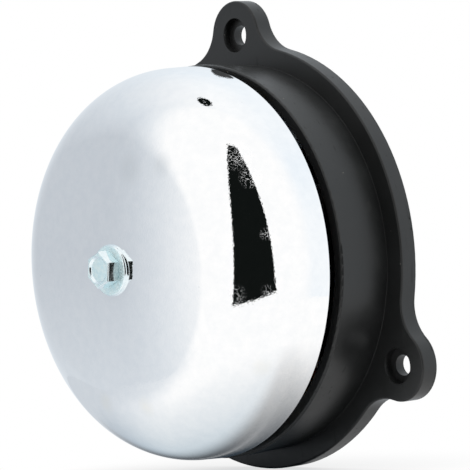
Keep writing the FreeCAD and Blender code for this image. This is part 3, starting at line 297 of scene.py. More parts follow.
finishLooks = {
    # near-black and satin, faint flow clouds, a fine tool grain, the odd grain of dust
    "moulded_black": {
        "name": "ABS, injection moulded, black", "dark": "#121313", "light": "#171818",
        "cloudSize": 9.0, "grainSize": 0.35, "relief": 0.006, "rough": (0.34, 0.42),
        "specks": {"spacing": 5.0, "radius": 0.13, "core": 0.6, "strength": 0.8, "colour": "#8d8b84"},
        "scuffs": {"stretch": (1, 1, 0.08), "size": 1.2, "level": 0.66, "full": 0.72, "dulling": 0.2}},
    # a near mirror; shallow dents from the pressed sheet make the edges of reflections crawl, and
    # polish that dried in curls shows where something dark is mirrored
    "chrome": {
        "name": "mild steel, pressed and chrome plated", "dark": "#fafbfc", "light": "#ffffff",
        "cloudSize": 2.5, "grainSize": 0.5, "relief": 0.003, "rough": (0.01, 0.03), "metallic": 1.0,
        "dents": {"size": 0.45, "depth": 0.007},
        "film": {"size": 0.8, "width": 0.03, "core": 0.01, "cover": 0.45, "places": (
            (38.5, -40.8, 24.9, 4.0), (42.2, -40.2, 19.6, 3.2), (46.0, -40.2, 5.7, 1.7),
            (40.0, -45.6, -7.9, 2.4), (45.4, -40.6, -7.8, 1.8))},
        "stains": (
            {"colour": "#eceded", "places": ((8.9, -50.1, 24.5, 5.2), (20.4, -49.4, 24.5, 3.6))},
            {"colour": "#f9f7f1", "places": (
                (-10.0, -48.7, -33.2, 3.5), (5.8, -48.7, -34.3, 3.2), (39.1, -38.9, -26.1, 3.0))}),
        "specks": {"spacing": 7.0, "radius": 0.22, "core": 0.6, "strength": 0.25, "colour": "#8f979c"}},
    # silvery with the cool cast of blue passivation, slightly cloudy
    "zinc_plate": {
        "name": "steel, bright zinc plated", "dark": "#e2f1f6", "light": "#f6fdff",
        "cloudSize": 1.4, "grainSize": 0.35, "relief": 0.006, "rough": (0.08, 0.16), "metallic": 1.0},
    # the same plating on faces that tumbled against each other: satin, and a little brighter, which is
    # a painted brightening of the faces towards the room
    "zinc_tumbled": {
        "name": "steel, tumbled and zinc plated", "dark": "#e2f8fc", "light": "#f2ffff",
        "cloudSize": 1.1, "grainSize": 0.3, "relief": 0.008, "rough": (0.50, 0.62), "metallic": 1.0},
    # greyer than the plated screws, with the rolling direction just visible
    "zinc_sheet": {
        "name": "steel sheet, zinc plated", "dark": "#b4bbbf", "light": "#ccd2d5",
        "cloudSize": 6.0, "grainSize": 0.5, "stretch": (0.08, 1, 1), "relief": 0.006,
        "rough": (0.24, 0.38), "metallic": 1.0},
    # fine rings left by the tool under a film of oil
    "turned_steel": {
        "name": "free-cutting steel, turned", "dark": "#9b9c9d", "light": "#bdbebf",
        "cloudSize": 4.0, "grainSize": 0.25, "stretch": (0.15, 1, 1), "relief": 0.006,
        "rough": (0.20, 0.34), "metallic": 1.0},
    # dull grey with darker patches of scale
    "soft_iron": {
        "name": "soft iron, annealed", "dark": "#5d5f62", "light": "#8b8d90",
        "cloudSize": 3.5, "grainSize": 0.4, "relief": 0.012, "rough": (0.36, 0.52), "metallic": 1.0},
    # warm reddish brown under a clear glossy lacquer
    "copper_wire": {
        "name": "copper wire, enamelled", "dark": "#8a3c1c", "light": "#b5562a",
        "cloudSize": 2.5, "grainSize": 0.3, "relief": 0.004, "rough": (0.22, 0.34), "metallic": 0.9,
        "shader": {"Coat Weight": 0.6}},
    # milky off-white, slightly waxy
    "bobbin_plastic": {
        "name": "nylon, moulded, natural", "dark": "#d3cdbd", "light": "#e2ddd0",
        "cloudSize": 5.0, "grainSize": 0.5, "relief": 0.006, "rough": (0.34, 0.46),
        "shader": {"Subsurface Weight": 0.1, "Subsurface Scale": 0.001}},
    # yellow and bright, with tool rings
    "brass": {
        "name": "brass, turned from bar", "dark": "#b8923f", "light": "#d9b765",
        "cloudSize": 3.0, "grainSize": 0.25, "stretch": (1, 1, 0.2), "relief": 0.006,
        "rough": (0.18, 0.30), "metallic": 1.0},
    # dull silver with soft runs
    "tinned_brass": {
        "name": "brass, hot tinned", "dark": "#b9b5a8", "light": "#d6d3c8",
        "cloudSize": 1.2, "grainSize": 0.4, "relief": 0.015, "rough": (0.24, 0.40), "metallic": 1.0},
    # dark grey; the drawing lines are too fine to draw, so a short grain stands in for them
    "spring_steel": {
        "name": "music wire, drawn", "dark": "#74777b", "light": "#9a9da1",
        "cloudSize": 1.5, "grainSize": 0.3, "relief": 0.004, "rough": (0.22, 0.34), "metallic": 1.0},
    # pinkish gold with streaks along the strip
    "spring_bronze": {
        "name": "phosphor bronze strip, rolled", "dark": "#b37a52", "light": "#d09a70",
        "cloudSize": 3.0, "grainSize": 0.3, "stretch": (0.1, 1, 1), "relief": 0.005,
        "rough": (0.20, 0.32), "metallic": 1.0},
    # white and soft, slightly tarnished
    "silver": {
        "name": "fine silver, headed", "dark": "#c9c6bd", "light": "#e4e2da",
        "cloudSize": 0.8, "grainSize": 0.2, "relief": 0.006, "rough": (0.18, 0.32), "metallic": 1.0},
    # dull brick red with paper fibres
    "fibre": {
        "name": "vulcanised fibre, stamped", "dark": "#6a2a1e", "light": "#86392a",
        "cloudSize": 2.0, "grainSize": 0.3, "stretch": (0.25, 1, 1), "relief": 0.02,
        "rough": (0.55, 0.70)},
    # soft black with a greyish bloom
    "rubber": {
        "name": "rubber, moulded", "dark": "#191919", "light": "#2a2a2a",
        "cloudSize": 3.0, "grainSize": 0.25, "relief": 0.015, "rough": (0.55, 0.72)},
    # black and satin, without the drum's flow clouds
    "terminal_plastic": {
        "name": "nylon, moulded, black", "dark": "#141415", "light": "#1b1b1c",
        "cloudSize": 4.0, "grainSize": 0.4, "relief": 0.008, "rough": (0.38, 0.50)},
    # glossy, with slight drag marks along the wire
    "lead_red": {
        "name": "PVC, extruded, red", "dark": "#9c1d1a", "light": "#b82722",
        "cloudSize": 3.0, "grainSize": 0.3, "relief": 0.006, "rough": (0.30, 0.42)},
    "lead_blue": {
        "name": "PVC, extruded, blue", "dark": "#1d3a86", "light": "#2849a0",
        "cloudSize": 3.0, "grainSize": 0.3, "relief": 0.006, "rough": (0.30, 0.42)},
}
finishes = {slotName: makeFinish(look) for slotName, look in finishLooks.items()}
slotOf = {part["node"]: part["material_slot"] for part in frame["record"]["subparts"]}
bodyOf = {node: body for body, nodes in frame["record"]["behaviour"]["bodies"].items()
          for node in nodes}
print("finishes made:", len(finishes))


def settle(piece, node, rides=True):
    # Give a finished piece the finish and body of the CAD node it stands for
    piece.data.materials.clear()
    piece.data.materials.append(finishes[slotOf[node]])
    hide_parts(node)
    if rides:
        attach(piece, bodyOf[node])
    return piece


# Gong

gong = {
    "rimRadius": 50.0, "wall": 1.2, "rimDepth": 24.0, "height": 27.5, "taper": 2.7,
    "shoulder": 21.2, "crown": 230.0, "seat": 7.5, "hole": 2.8, "rimRound": 0.35, "columns": 288,
    "rows": {"side": 12, "shoulder": 70, "crown": 26, "seat": 6, "rim": 6},
}


def gongSkin(dims, inset):
    # Tapered side, shoulder arc, crown arc, flat seat, each tangent to the next, moved inwards. The
    # shoulder's centre lies its own radius in from the side, and the crown's radius less its own
    # from the crown's centre, which gives a quadratic in the way along the side.
    rows = dims["rows"]
    taper = math.radians(dims["taper"])
    top = dims["rimDepth"] + dims["height"]
    crownCentre = top - math.sqrt(dims["crown"] ** 2 - dims["seat"] ** 2)
    startRadius = dims["rimRadius"] - dims["shoulder"] * math.cos(taper)
    startDepth = dims["rimDepth"] - dims["shoulder"] * math.sin(taper) - crownCentre
    along = startDepth * math.cos(taper) - startRadius * math.sin(taper)
    slack = startRadius ** 2 + startDepth ** 2 - (dims["crown"] - dims["shoulder"]) ** 2
    run = math.sqrt(along ** 2 - slack) - along
    centre = (startRadius - run * math.sin(taper), startDepth + crownCentre + run * math.cos(taper))
    crownAngle = math.degrees(math.atan2(centre[1] - crownCentre, centre[0]))
    crown = dims["crown"] - inset
    seatDepth = top - inset
    seatRadius = math.sqrt(crown ** 2 - (seatDepth - crownCentre) ** 2)
    seatAngle = math.degrees(math.atan2(seatDepth - crownCentre, seatRadius))
    shoulder = arcPoints(centre, dims["shoulder"] - inset, dims["taper"], crownAngle,
                         rows["shoulder"])
    rim = np.array([dims["rimRadius"] - inset / math.cos(taper), dims["rimDepth"]])
    side = rim + (shoulder[0] - rim) * np.linspace(0, 1, rows["side"])[:, None]
    cap = arcPoints((0, crownCentre), crown, crownAngle, seatAngle, rows["crown"])
    seat = np.stack([np.linspace(seatRadius, dims["hole"], rows["seat"]),
                     np.full(rows["seat"], seatDepth)], -1)
    return np.vstack([side[:-1], shoulder[:-1], cap[:-1], seat])


def gongProfile(dims):
    # Outer skin, then the inner one back, with a quarter round on each corner of the rim
    outer, inner = gongSkin(dims, 0), gongSkin(dims, dims["wall"])
    turn, rows = dims["rimRound"], dims["rows"]["rim"]
    outerTurn = arcPoints(outer[0] + (-turn, turn), turn, 270, 360, rows)
    innerTurn = arcPoints(inner[0] + (turn, turn), turn, 180, 270, rows)
    return np.vstack([outerTurn, outer[1:], inner[:0:-1], innerTurn])


shell = turnedFront(*spun(gongProfile(gong), gong["columns"]))
settle(ringMesh("gong_shell", shell), "gong")
print("gong turned")


# Bolt and washer

bolt = {
    "acrossFlats": 8.1, "seat": 52.4, "head": 3.4, "chamferInset": 0.25, "chamferSlope": 30,
    "dishRadius": 3.3, "dishDepth": 0.45, "dishSlope": 0.5, "dishCrown": 0.12, "lipRound": 0.25,
    "lipSweep": 60, "edgeRound": 0.4, "edgeStart": 12, "undercut": 0.1, "undercutReach": 0.06,
    "length": 16.0, "tipRadius": 1.8, "tipBreak": 0.2, "threadStart": 0.8, "threadStop": 0.02,
    "thread": 2.5, "pitch": 0.8, "threadDepth": 0.3, "softness": 60.0, "lift": 0.3, "turn": -10.0,
    "satin": 0.97, "footRows": (0.0, 0.05, 0.15), "sideGaps": (0.4, 0.6), "edgeGap": 0.55,
    "rows": {"thread": 180, "side": 8, "edge": 7, "rim": 9, "lip": 7, "wall": 9, "floor": 14},
    "columns": 288,
}


def boltGrid(dims):
    # Rows run from the tip up the threaded shank, out under the head, up its six sides, round the
    # edge, over the rim and down the dish. A side is the soft minimum of the hexagon (half the
    # flats over the cosine of the angle to the nearest flat) and of the cone that trims its corners.
    rows = dims["rows"]
    angle = roundAngles(dims["columns"])
    toFlat = (angle - math.radians(dims["turn"] - 30)) % (math.pi / 3) - math.pi / 6
    hexagon = dims["acrossFlats"] / 2 / np.cos(toFlat)
    top = dims["seat"] + dims["head"]
    chamfer = dims["acrossFlats"] / math.sqrt(3) - dims["chamferInset"]
    tip = dims["seat"] - dims["length"]

    def side(depth):
        cone = chamfer + (top - depth) / math.tan(math.radians(dims["chamferSlope"]))
        return (hexagon ** -dims["softness"] + cone ** -dims["softness"]) ** (-1 / dims["softness"])

    shankDepth = np.linspace(tip + dims["threadStart"], dims["seat"] - dims["threadStop"],
                             rows["thread"])[:, None]
    turn = (shankDepth / dims["pitch"] - angle / (2 * math.pi)) % 1.0
    thread = dims["thread"] - dims["threadDepth"] * np.abs(2 * turn - 1)

    # the rows crowd together at the head's foot, where the sides curl under, and near its edge
    edge = dims["edgeRound"]
    fromFoot, fromTop = dims["sideGaps"]
    sideDepth = np.concatenate([dims["seat"] + np.array(dims["footRows"]),
                                np.linspace(dims["seat"] + fromFoot, top - fromTop, rows["side"]),
                                np.linspace(top - dims["edgeGap"], top - edge, rows["side"])])[:, None]
    curl = np.exp(-(sideDepth - dims["seat"]) / dims["undercutReach"])
    flank = side(sideDepth) - dims["undercut"] * curl
    bend = np.radians(np.linspace(dims["edgeStart"], 90, rows["edge"]))[:, None]
    shoulder = side(top - edge) - edge * (1 - np.cos(bend))
    shoulderDepth = top - edge * (1 - np.sin(bend))
    lipRound = dims["lipRound"]
    lip = dims["dishRadius"] + lipRound
    share = np.linspace(0, 1, rows["rim"])[1:, None]
    rim = shoulder[-1:] + (lip - shoulder[-1:]) * share

    # the lip turns into the dish, whose wall falls as a quarter sine to a slightly crowned floor
    lipTurn = arcPoints((lip, top - lipRound), lipRound, 90, 90 + dims["lipSweep"], rows["lip"])[1:]
    slope = np.linspace(0, 1, rows["wall"])[1:]
    fall = (dims["dishDepth"] - lipRound / 2) * np.sin(slope * math.pi / 2)
    wall = np.stack([dims["dishRadius"] - dims["dishSlope"] * slope, top - lipRound / 2 - fall], -1)
    floorRadius = np.linspace(dims["dishRadius"] - dims["dishSlope"], 0, rows["floor"])[1:]
    swell = dims["dishCrown"] * (1 - (floorRadius / dims["dishRadius"]) ** 2)
    floor = np.stack([floorRadius, top - dims["dishDepth"] + swell], -1)

    tipRadius, tipBreak = dims["tipRadius"], dims["tipBreak"]
    below = spun([(0, tip), (tipRadius, tip), (tipRadius + tipBreak, tip + tipBreak)], dims["columns"])
    above = spun(np.vstack([lipTurn, wall, floor]), dims["columns"])
    radius = np.vstack([below[0], thread, flank, shoulder, rim, above[0]])
    depth = np.vstack([below[1], shankDepth + 0 * angle, sideDepth + 0 * angle,
                       shoulderDepth + 0 * angle, top + 0 * rim, above[1]])
    return turnedFront(radius, depth, z=dims["lift"])


def satinFront(piece, facing):
    # Faces whose normal points more towards the room than this get the tumbled finish: satin, with a
    # painted brightening of its tint
    polygons = piece.data.polygons
    normals = np.empty(3 * len(polygons))
    polygons.foreach_get("normal", normals)
    piece.data.materials.append(finishes["zinc_tumbled"])
    polygons.foreach_set("material_index", (-normals[1::3] > facing).astype(np.int32))


head = settle(ringMesh("gong_bolt_m5", boltGrid(bolt), closed=False, smoothAngle=24), "gong_bolt")
satinFront(head, bolt["satin"])

washer = {
    "radius": 6.5, "hole": 2.6, "back": 51.5, "thickness": 0.9, "round": 0.7, "edgeBreak": 0.1,
    "holeBreak": 0.15, "satin": 0.9, "rows": 8, "columns": 160,
}


def washerProfile(dims):
    # A punched washer: a quarter round on its front edge, small breaks on the other corners
    radius, hole, back, corner = dims["radius"], dims["hole"], dims["back"], dims["edgeBreak"]
    top = back + dims["thickness"]
    roll = arcPoints((radius - dims["round"], top - dims["round"]), dims["round"], 0, 90, dims["rows"])
    return np.vstack([
        [(hole, back), (radius - corner, back), (radius, back + corner)],
        roll,
        [(hole + dims["holeBreak"], top), (hole, top - corner)],
    ])


ring = turnedFront(*spun(washerProfile(washer), washer["columns"]))
satinFront(settle(ringMesh("gong_washer_plain", ring), "gong_washer"), washer["satin"])
print("bolt and washer made")


# Windings: close turns of enamelled wire

winding = {"pitch": 0.6, "turnDepth": 0.14, "bore": 4.35, "rowsPerTurn": 8, "columns": 80}


def windingGrid(node, dims):
    # Outer radius minus a scallop: each turn bulges as |sin(pi * turn)|, and a turn climbs one
    # pitch in each round, so turn = height / pitch - angle / (2 pi)
    low, high, x, depth = nodeBox(node)
    outer = (high[0] - low[0]) / 2
    count = int((high[2] - low[2]) / dims["pitch"]) * dims["rowsPerTurn"]
    height = np.linspace(low[2], high[2], count)[:, None]
    turn = height / dims["pitch"] - roundAngles(dims["columns"]) / (2 * math.pi)
    radius = outer - dims["turnDepth"] * (1 - np.abs(np.sin(math.pi * turn)))
    ends = np.full((1, dims["columns"]), dims["bore"])
    radius = np.vstack([ends, radius, ends])
    height = np.vstack([height[:1], height, height[-1:]])
    return turnedUpright(radius, height, x, depth)


for side in ("left", "right"):
    node = "winding_" + side
    settle(ringMesh("coil_" + side, windingGrid(node, winding), smoothAngle=60), node)
print("coils wound")


# Return spring: a close-wound wire with an arched hook at each end

spring = {
    "radius": 1.7, "wire": 0.3, "leg": 1.0, "tail": 0.6, "tip": 1e-4, "perTurn": 28, "archSteps": 30,
    "legSteps": 8, "columns": 12,
}


def springPath(node, dims):
    # Lower hook (half circle, legs), helix (cos, sin, rising by one wire a turn), upper hook.
    # Beside each point goes the direction away from its own arch or axis.
    low, high, x, depth = nodeBox(node)
    radius, wire = dims["radius"], dims["wire"]
    reach = radius + wire
    topCentre, bottomCentre = high[2] - reach, low[2] + reach
    top, bottom = topCentre - dims["leg"], bottomCentre + dims["leg"]
    turns = int((top - bottom) / (2 * wire))
    sweep = np.linspace(0, 2 * math.pi * turns, turns * dims["perTurn"])
    coil = np.stack([radius * np.cos(sweep), radius * np.sin(sweep),
                     bottom + (top - bottom) * sweep / sweep[-1]], -1)
    coilOut = np.stack([np.cos(sweep), np.sin(sweep), 0 * sweep], -1)
    half = np.linspace(0, math.pi, dims["archSteps"])
    upper = np.stack([radius * np.cos(half), 0 * half, topCentre + radius * np.sin(half)], -1)
    upperOut = np.stack([np.cos(half), 0 * half, np.sin(half)], -1)
    lower = upper * (1, 1, -1) + (0, 0, topCentre + bottomCentre)
    lowerOut = upperOut * (1, 1, -1)
    leg = np.linspace(0, 1, dims["legSteps"])[1:-1, None]
    end = wire * dims["tail"]
    tail = np.array([[-radius, 0, top + end]])
    foot = np.array([[-radius, 0, bottom - end]])
    left, right = np.array([[-1.0, 0, 0]]), np.array([[1.0, 0, 0]])
    path = np.vstack([foot, lower[::-1], lower[0] + (coil[0] - lower[0]) * leg, coil,
                      coil[-1] + (upper[0] - coil[-1]) * leg, upper, tail])
    out = np.vstack([left, lowerOut[::-1], right + 0 * leg, coilOut, right + 0 * leg, upperOut, left])
    # each point moves to a weighted mean with its neighbours, which softens the bends
    weights = {-1: 0.25, 0: 0.5, 1: 0.25}
    path[1:-1] = sum(weight * path[1 + shift:len(path) - 1 + shift]
                     for shift, weight in weights.items())
    return path + (x, -depth, 0), out, bottom, top


path, away, springLow, springHigh = springPath("return_spring", spring)
wire = np.full(len(path), spring["wire"])
wire[[0, -1]] = spring["tip"]
coilSpring = ringMesh("return_spring_wire", tubeGrid(path, away, wire, spring["columns"]), closed=False)
settle(coilSpring, "return_spring", rides=False)
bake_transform(coilSpring)
print("spring wound")


# Contact screw: knurled knob with a slot, and a fine thread

adjuster = {
    "knob": 2.75, "knobHeight": 2.5, "chamfer": 0.3, "knurls": 32, "knurlDepth": 0.12,
    "screw": 1.5, "pitch": 0.5, "threadDepth": 0.16, "slotWidth": 0.7, "slotDepth": 0.8,
    "faceRows": 28, "knobRows": (0.5, 1.0, 1.5, 2.0), "threadRows": 200, "columns": 256,
}


def adjusterGrid(node, dims):
    # Knob rows: radius minus knurlDepth * |sin(knurls * angle / 2)|; screw rows: radius minus a
    # triangular thread; bottom rows sink by the slot's depth where they lie within its width
    low, high, x, depth = nodeBox(node)
    angle = roundAngles(dims["columns"])
    knurl = dims["knurlDepth"] * np.abs(np.sin(dims["knurls"] * angle / 2))
    faceRadius = np.linspace(0, dims["knob"] - dims["chamfer"], dims["faceRows"])[:, None] + 0 * angle
    inSlot = np.abs(faceRadius * np.sin(angle)) < dims["slotWidth"] / 2
    face = low[2] + dims["slotDepth"] * inSlot
    knobTop = low[2] + dims["knobHeight"]
    rise = np.array([dims["chamfer"], *dims["knobRows"],
                     dims["knobHeight"] - dims["chamfer"]])[:, None]
    knob = dims["knob"] - knurl + 0 * rise
    threadHeight = np.linspace(knobTop, high[2], dims["threadRows"])[:, None]
    turn = (threadHeight / dims["pitch"] - angle / (2 * math.pi)) % 1.0
    thread = dims["screw"] - dims["threadDepth"] * np.abs(2 * turn - 1)
    shoulder = np.full((1, dims["columns"]), dims["knob"] - dims["chamfer"])
    end = np.zeros((1, dims["columns"]))
    radius = np.vstack([faceRadius, knob, shoulder, thread, end])
    height = np.vstack([face, low[2] + rise + 0 * angle, knobTop + end, threadHeight + 0 * angle,
                        high[2] + end])
    return turnedUpright(radius, height, x, depth)


settle(ringMesh("contact_screw_knurled", adjusterGrid("contact_screw", adjuster), closed=False,
                smoothAngle=25), "contact_screw")
print("contact screw made")


# Mould flash: a thin ragged fin along the back edge of the flange

flash = {
    "flange": 54.9, "holeCircle": 58.0, "ear": 8.9, "blend": 10.5, "ears": (90, 210, 330),
    "depth": 0.42, "width": 0.16, "height": 0.07, "mean": 0.5, "swing": 0.3, "limits": (0.05, 1.4),
    "waves": ((23, 0.4), (61, 2.1), (137, 4.0), (311, 1.2)),
    "nick": 0.3, "nickWaves": ((5.5, 0.9), (13, 0.3)), "nickLevel": 0.93, "nickWidth": 0.02,
    "sunk": 0.06, "root": 0.3, "rows": 9, "columns": 1800,
}


def flangeOutline(angle, dims):
    # Distance to the flange's edge in each direction: on an ear, the far crossing with its circle;
    # beside it, the near crossing with the hollow blend circle; elsewhere the flange's own radius
    circle, ear, blend = dims["holeCircle"], dims["ear"], dims["blend"]
    hollow = dims["flange"] + blend
    spread = math.acos((circle ** 2 + hollow ** 2 - (ear + blend) ** 2) / (2 * circle * hollow))
    apart = np.min([np.abs((angle - math.radians(middle) + math.pi) % (2 * math.pi) - math.pi)
                    for middle in dims["ears"]], axis=0)
    share = ear / (ear + blend)
    meet = math.atan2(hollow * math.sin(spread) * share,
                      circle * (1 - share) + hollow * math.cos(spread) * share)
    onEar = circle * np.cos(apart) + np.sqrt(
        np.maximum(ear ** 2 - (circle * np.sin(apart)) ** 2, 0))
    onBlend = hollow * np.cos(apart - spread) - np.sqrt(
        np.maximum(blend ** 2 - (hollow * np.sin(apart - spread)) ** 2, 0))
    return np.where(apart < meet, onEar, np.where(apart < spread, onBlend, dims["flange"]))


def flashGrid(dims):
    # A half-round fin across the rows. Its height is a mean plus a sum of sines, kept within limits,
    # with a tall nick wherever the product of two other sines comes near the nick's level.
    angle = roundAngles(dims["columns"])
    wander = sum(np.sin(count * angle + start) for count, start in dims["waves"])
    slow, quick = (np.sin(count * angle + start) for count, start in dims["nickWaves"])
    nicks = np.exp(-((slow * quick - dims["nickLevel"]) / dims["nickWidth"]) ** 2)
    height = (dims["height"] * np.clip(dims["mean"] + dims["swing"] * wander, *dims["limits"])
              + dims["nick"] * nicks)
    across = np.linspace(-1, 1, dims["rows"])[:, None]
    outline = flangeOutline(angle, dims)
    radius = outline - dims["sunk"] + height * np.sqrt(1 - across ** 2)
    inner = outline[None] - dims["root"]
    depth = dims["depth"] + dims["width"] * across
    radius = np.vstack([inner, radius, inner])
    depth = np.vstack([depth[:1], depth, depth[-1:]]) + 0 * angle
    return turnedFront(radius, depth)


fin = ringMesh("mould_flash", flashGrid(flash), smoothAngle=50)

# the tool left a fine bead in the corner between drum and flange: a thin ring, whose last row
# stops short of its first
bead = {"radius": 49.8, "depth": 4.72, "thickness": 0.09, "sweep": 345, "rows": 16, "columns": 720}
beadProfile = arcPoints((bead["radius"], bead["depth"]), bead["thickness"], 0, bead["sweep"],
                        bead["rows"])
cornerRing = ringMesh("corner_bead", turnedFront(*spun(beadProfile, bead["columns"])), smoothAngle=60)
for piece in (fin, cornerRing):
    piece.data.materials.append(finishes["moulded_black"])
    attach(piece, "base")
print("flash and bead added")


# The other nodes keep their CAD form: doubles merged, flats kept flat, rounds smoothed

newlyMade = {"gong", "gong_bolt", "gong_washer", "winding_left", "winding_right", "return_spring",
             "contact_screw"}
for node in sorted(set(frame["nodes"]) - newlyMade):
    skin = finishMesh(node + "_skin", frame["nodes"][node].data.copy(), smoothAngle=30, outwards=False)
    level = skin.modifiers.new("level_flats", "WEIGHTED_NORMAL")
    level.keep_sharp = True
    level.weight = 80
    settle(skin, node)
print("CAD nodes dressed")


# Studio: white tent, white board under the bell, dark card round the lens

# lengths in mm, azimuths in degrees, heights on the tent as the Z of a unit vector; the pairs named
# Edge, Turn, Back, Top, Foot and Right are the two ends of a fade
studio = {
    "board": -54.95, "boardRadius": 158.0, "boardRows": 24, "boardColour": "#bcbec0",
    "boardEdge": (-53, -2), "boardFoot": 0.8, "shadowLost": 0.7,
    "shadowReach": 45.0, "shadowFront": "#b0c1cc", "shadowBack": "#1c2b36",
    "shadowTurn": (-38.0, -25.0), "openSky": (0.08, 0.95),
    "shade": "#c4cad1", "cool": "#eff6fc", "fill": 0.62, "tentEdge": (-53, -28), "tentFoot": 0.7,
    "shadeBack": (-80, -150), "shadeTop": (0.3, 1.05), "shadeFoot": (0.0, -0.2),
    "coolRight": (145, 110), "coolTop": (0.6, 1.1),
    "cardDistance": 650.0, "cardAzimuth": 45.0, "cardFoot": -222.0, "cardTop": 1110.0,
    "cardLeft": (-304, 0.258), "cardRight": (281, -0.115), "cardBow": 0.00003, "cardFlare": 30,
    "cardRows": 60, "cardColumns": 12, "cardColour": "#101312",
    "lampHeight": 700.0, "lampPlace": (-66.0, -32.0), "lampRadius": 52.0, "lampHole": 8,
    "lampRows": 6, "roundSteps": 97,
}


def direction(azimuth, elevation):
    # Unit vector: azimuth 0 towards the room (-Y), 90 towards +X
    a, e = np.radians(azimuth), np.radians(elevation)
    return np.stack([np.sin(a) * np.cos(e), -np.cos(a) * np.cos(e), np.sin(e)], -1)


def product(tree, sockets):
    # Several shares multiplied together
    total = sockets[0]
    for socket in sockets[1:]:
        total = addNode(tree, "ShaderNodeMath", {"operation": "MULTIPLY"},
                        {0: total, 1: socket}).outputs["Value"]
    return total


def tentTone(tree, vector, edge, foot):
    # White in front and cool behind, which is left of the edge's two azimuths and right of the
    # cool ones, less so overhead. The left front is unlit and grey: from the edge on, fading towards
    # the back, upwards, and downwards to the foot's share.
    away = addNode(tree, "ShaderNodeVectorMath", {"operation": "NORMALIZE"}, {0: vector})
    split = addNode(tree, "ShaderNodeSeparateXYZ", None, {"Vector": away.outputs["Vector"]})
    ahead = addNode(tree, "ShaderNodeMath", {"operation": "MULTIPLY", 1: -1.0}, {0: split.outputs["Y"]})
    turned = addNode(tree, "ShaderNodeMath", {"operation": "ARCTAN2"},
                     {0: split.outputs["X"], 1: ahead.outputs["Value"]}).outputs["Value"]
    raised = split.outputs["Z"]
    front, shadeBack, shadeTop, coolRight, coolTop, shadeFoot = [
        addNode(tree, "ShaderNodeMapRange",
                {"interpolation_type": kind, "From Min": start, "From Max": end,
                 "To Min": 1.0, "To Max": last}, {"Value": socket}).outputs["Result"]
        for socket, kind, (start, end), last in (
            (turned, "SMOOTHSTEP", map(math.radians, edge), 0.0),
            (turned, "SMOOTHSTEP", map(math.radians, studio["shadeBack"]), 0.0),
            (raised, "LINEAR", studio["shadeTop"], 0.0),
            (turned, "SMOOTHSTEP", map(math.radians, studio["coolRight"]), 0.0),
            (raised, "LINEAR", studio["coolTop"], 0.0),
            (raised, "LINEAR", studio["shadeFoot"], foot))]
    behind = addNode(tree, "ShaderNodeMath", {"operation": "MAXIMUM"}, {0: front, 1: coolRight})
    cool = addNode(tree, "ShaderNodeMix", {"data_type": "RGBA", 6: white, 7: toLinear(studio["cool"])},
                   {0: product(tree, (behind.outputs["Value"], coolTop))})
    return addNode(tree, "ShaderNodeMix", {"data_type": "RGBA", 7: toLinear(studio["shade"])},
                   {0: product(tree, (front, shadeBack, shadeTop, shadeFoot)),
                    6: cool.outputs[2]}).outputs[2]


world = bpy.data.worlds.new("tent")
bpy.context.scene.world = world
tree = emptyTree(world)
rays = addNode(tree, "ShaderNodeLightPath")
place = addNode(tree, "ShaderNodeTexCoord")
mirrored = addNode(tree, "ShaderNodeMath", {"operation": "MAXIMUM"},
                   {0: rays.outputs["Is Glossy Ray"], 1: rays.outputs["Is Transmission Ray"]})
tent = tentTone(tree, place.outputs["Generated"], studio["tentEdge"], studio["tentFoot"])
fill = addNode(tree, "ShaderNodeMix", {"data_type": "RGBA", 6: (studio["fill"],) * 3 + (1.0,)},
               {0: mirrored.outputs["Value"], 7: tent})
seen = addNode(tree, "ShaderNodeMix", {"data_type": "RGBA", 7: white},
               {0: rays.outputs["Is Camera Ray"], 6: fill.outputs[2]})
sky = addNode(tree, "ShaderNodeBackground", {"Strength": 1.0}, {"Color": seen.outputs[2]})
addNode(tree, "ShaderNodeOutputWorld", None, {"Surface": sky.outputs["Background"]})

# white board: an emission that stays white to the eye and in reflections, with a painted shadow under
# the bell, made of ambient occlusion tinted by a tone that changes with depth
board = bpy.data.materials.new("white board")
tree = emptyTree(board)
rays = addNode(tree, "ShaderNodeLightPath")
place = addNode(tree, "ShaderNodeTexCoord")
spot = addNode(tree, "ShaderNodeSeparateXYZ", None, {"Vector": place.outputs["Object"]})
shadow = addNode(tree, "ShaderNodeAmbientOcclusion",
                 {"Distance": studio["shadowReach"] * mm, "samples": 12})
bare = addNode(tree, "ShaderNodeMapRange",
               {"From Min": studio["openSky"][0], "From Max": studio["openSky"][1]},
               {"Value": shadow.outputs["AO"]})
# painted shadow, set by place: deep under the black base, and light in front, where the gong throws
# light down
back = addNode(tree, "ShaderNodeMapRange",
               {"interpolation_type": "SMOOTHSTEP", "From Min": studio["shadowTurn"][0] * mm,
                "From Max": studio["shadowTurn"][1] * mm}, {"Value": spot.outputs["Y"]})
depth = addNode(tree, "ShaderNodeMix",
                {"data_type": "RGBA", 6: toLinear(studio["shadowFront"]),
                 7: toLinear(studio["shadowBack"])}, {0: back.outputs["Result"]})
paintedShadow = addNode(tree, "ShaderNodeMix", {"data_type": "RGBA", 7: white},
               {0: bare.outputs["Result"], 6: depth.outputs[2]})
# painted shade: to reflections the board takes the tent's tone, grey on its unlit left front
paintedTentShade = addNode(tree, "ShaderNodeMix", {"data_type": "RGBA", 6: white},
               {0: rays.outputs["Is Glossy Ray"],
                7: tentTone(tree, place.outputs["Object"], studio["boardEdge"], studio["boardFoot"])})
shaded = addNode(tree, "ShaderNodeMix", {"data_type": "RGBA", "blend_type": "MULTIPLY", 0: 1.0},
                 {6: paintedTentShade.outputs[2], 7: paintedShadow.outputs[2]}).outputs[2]
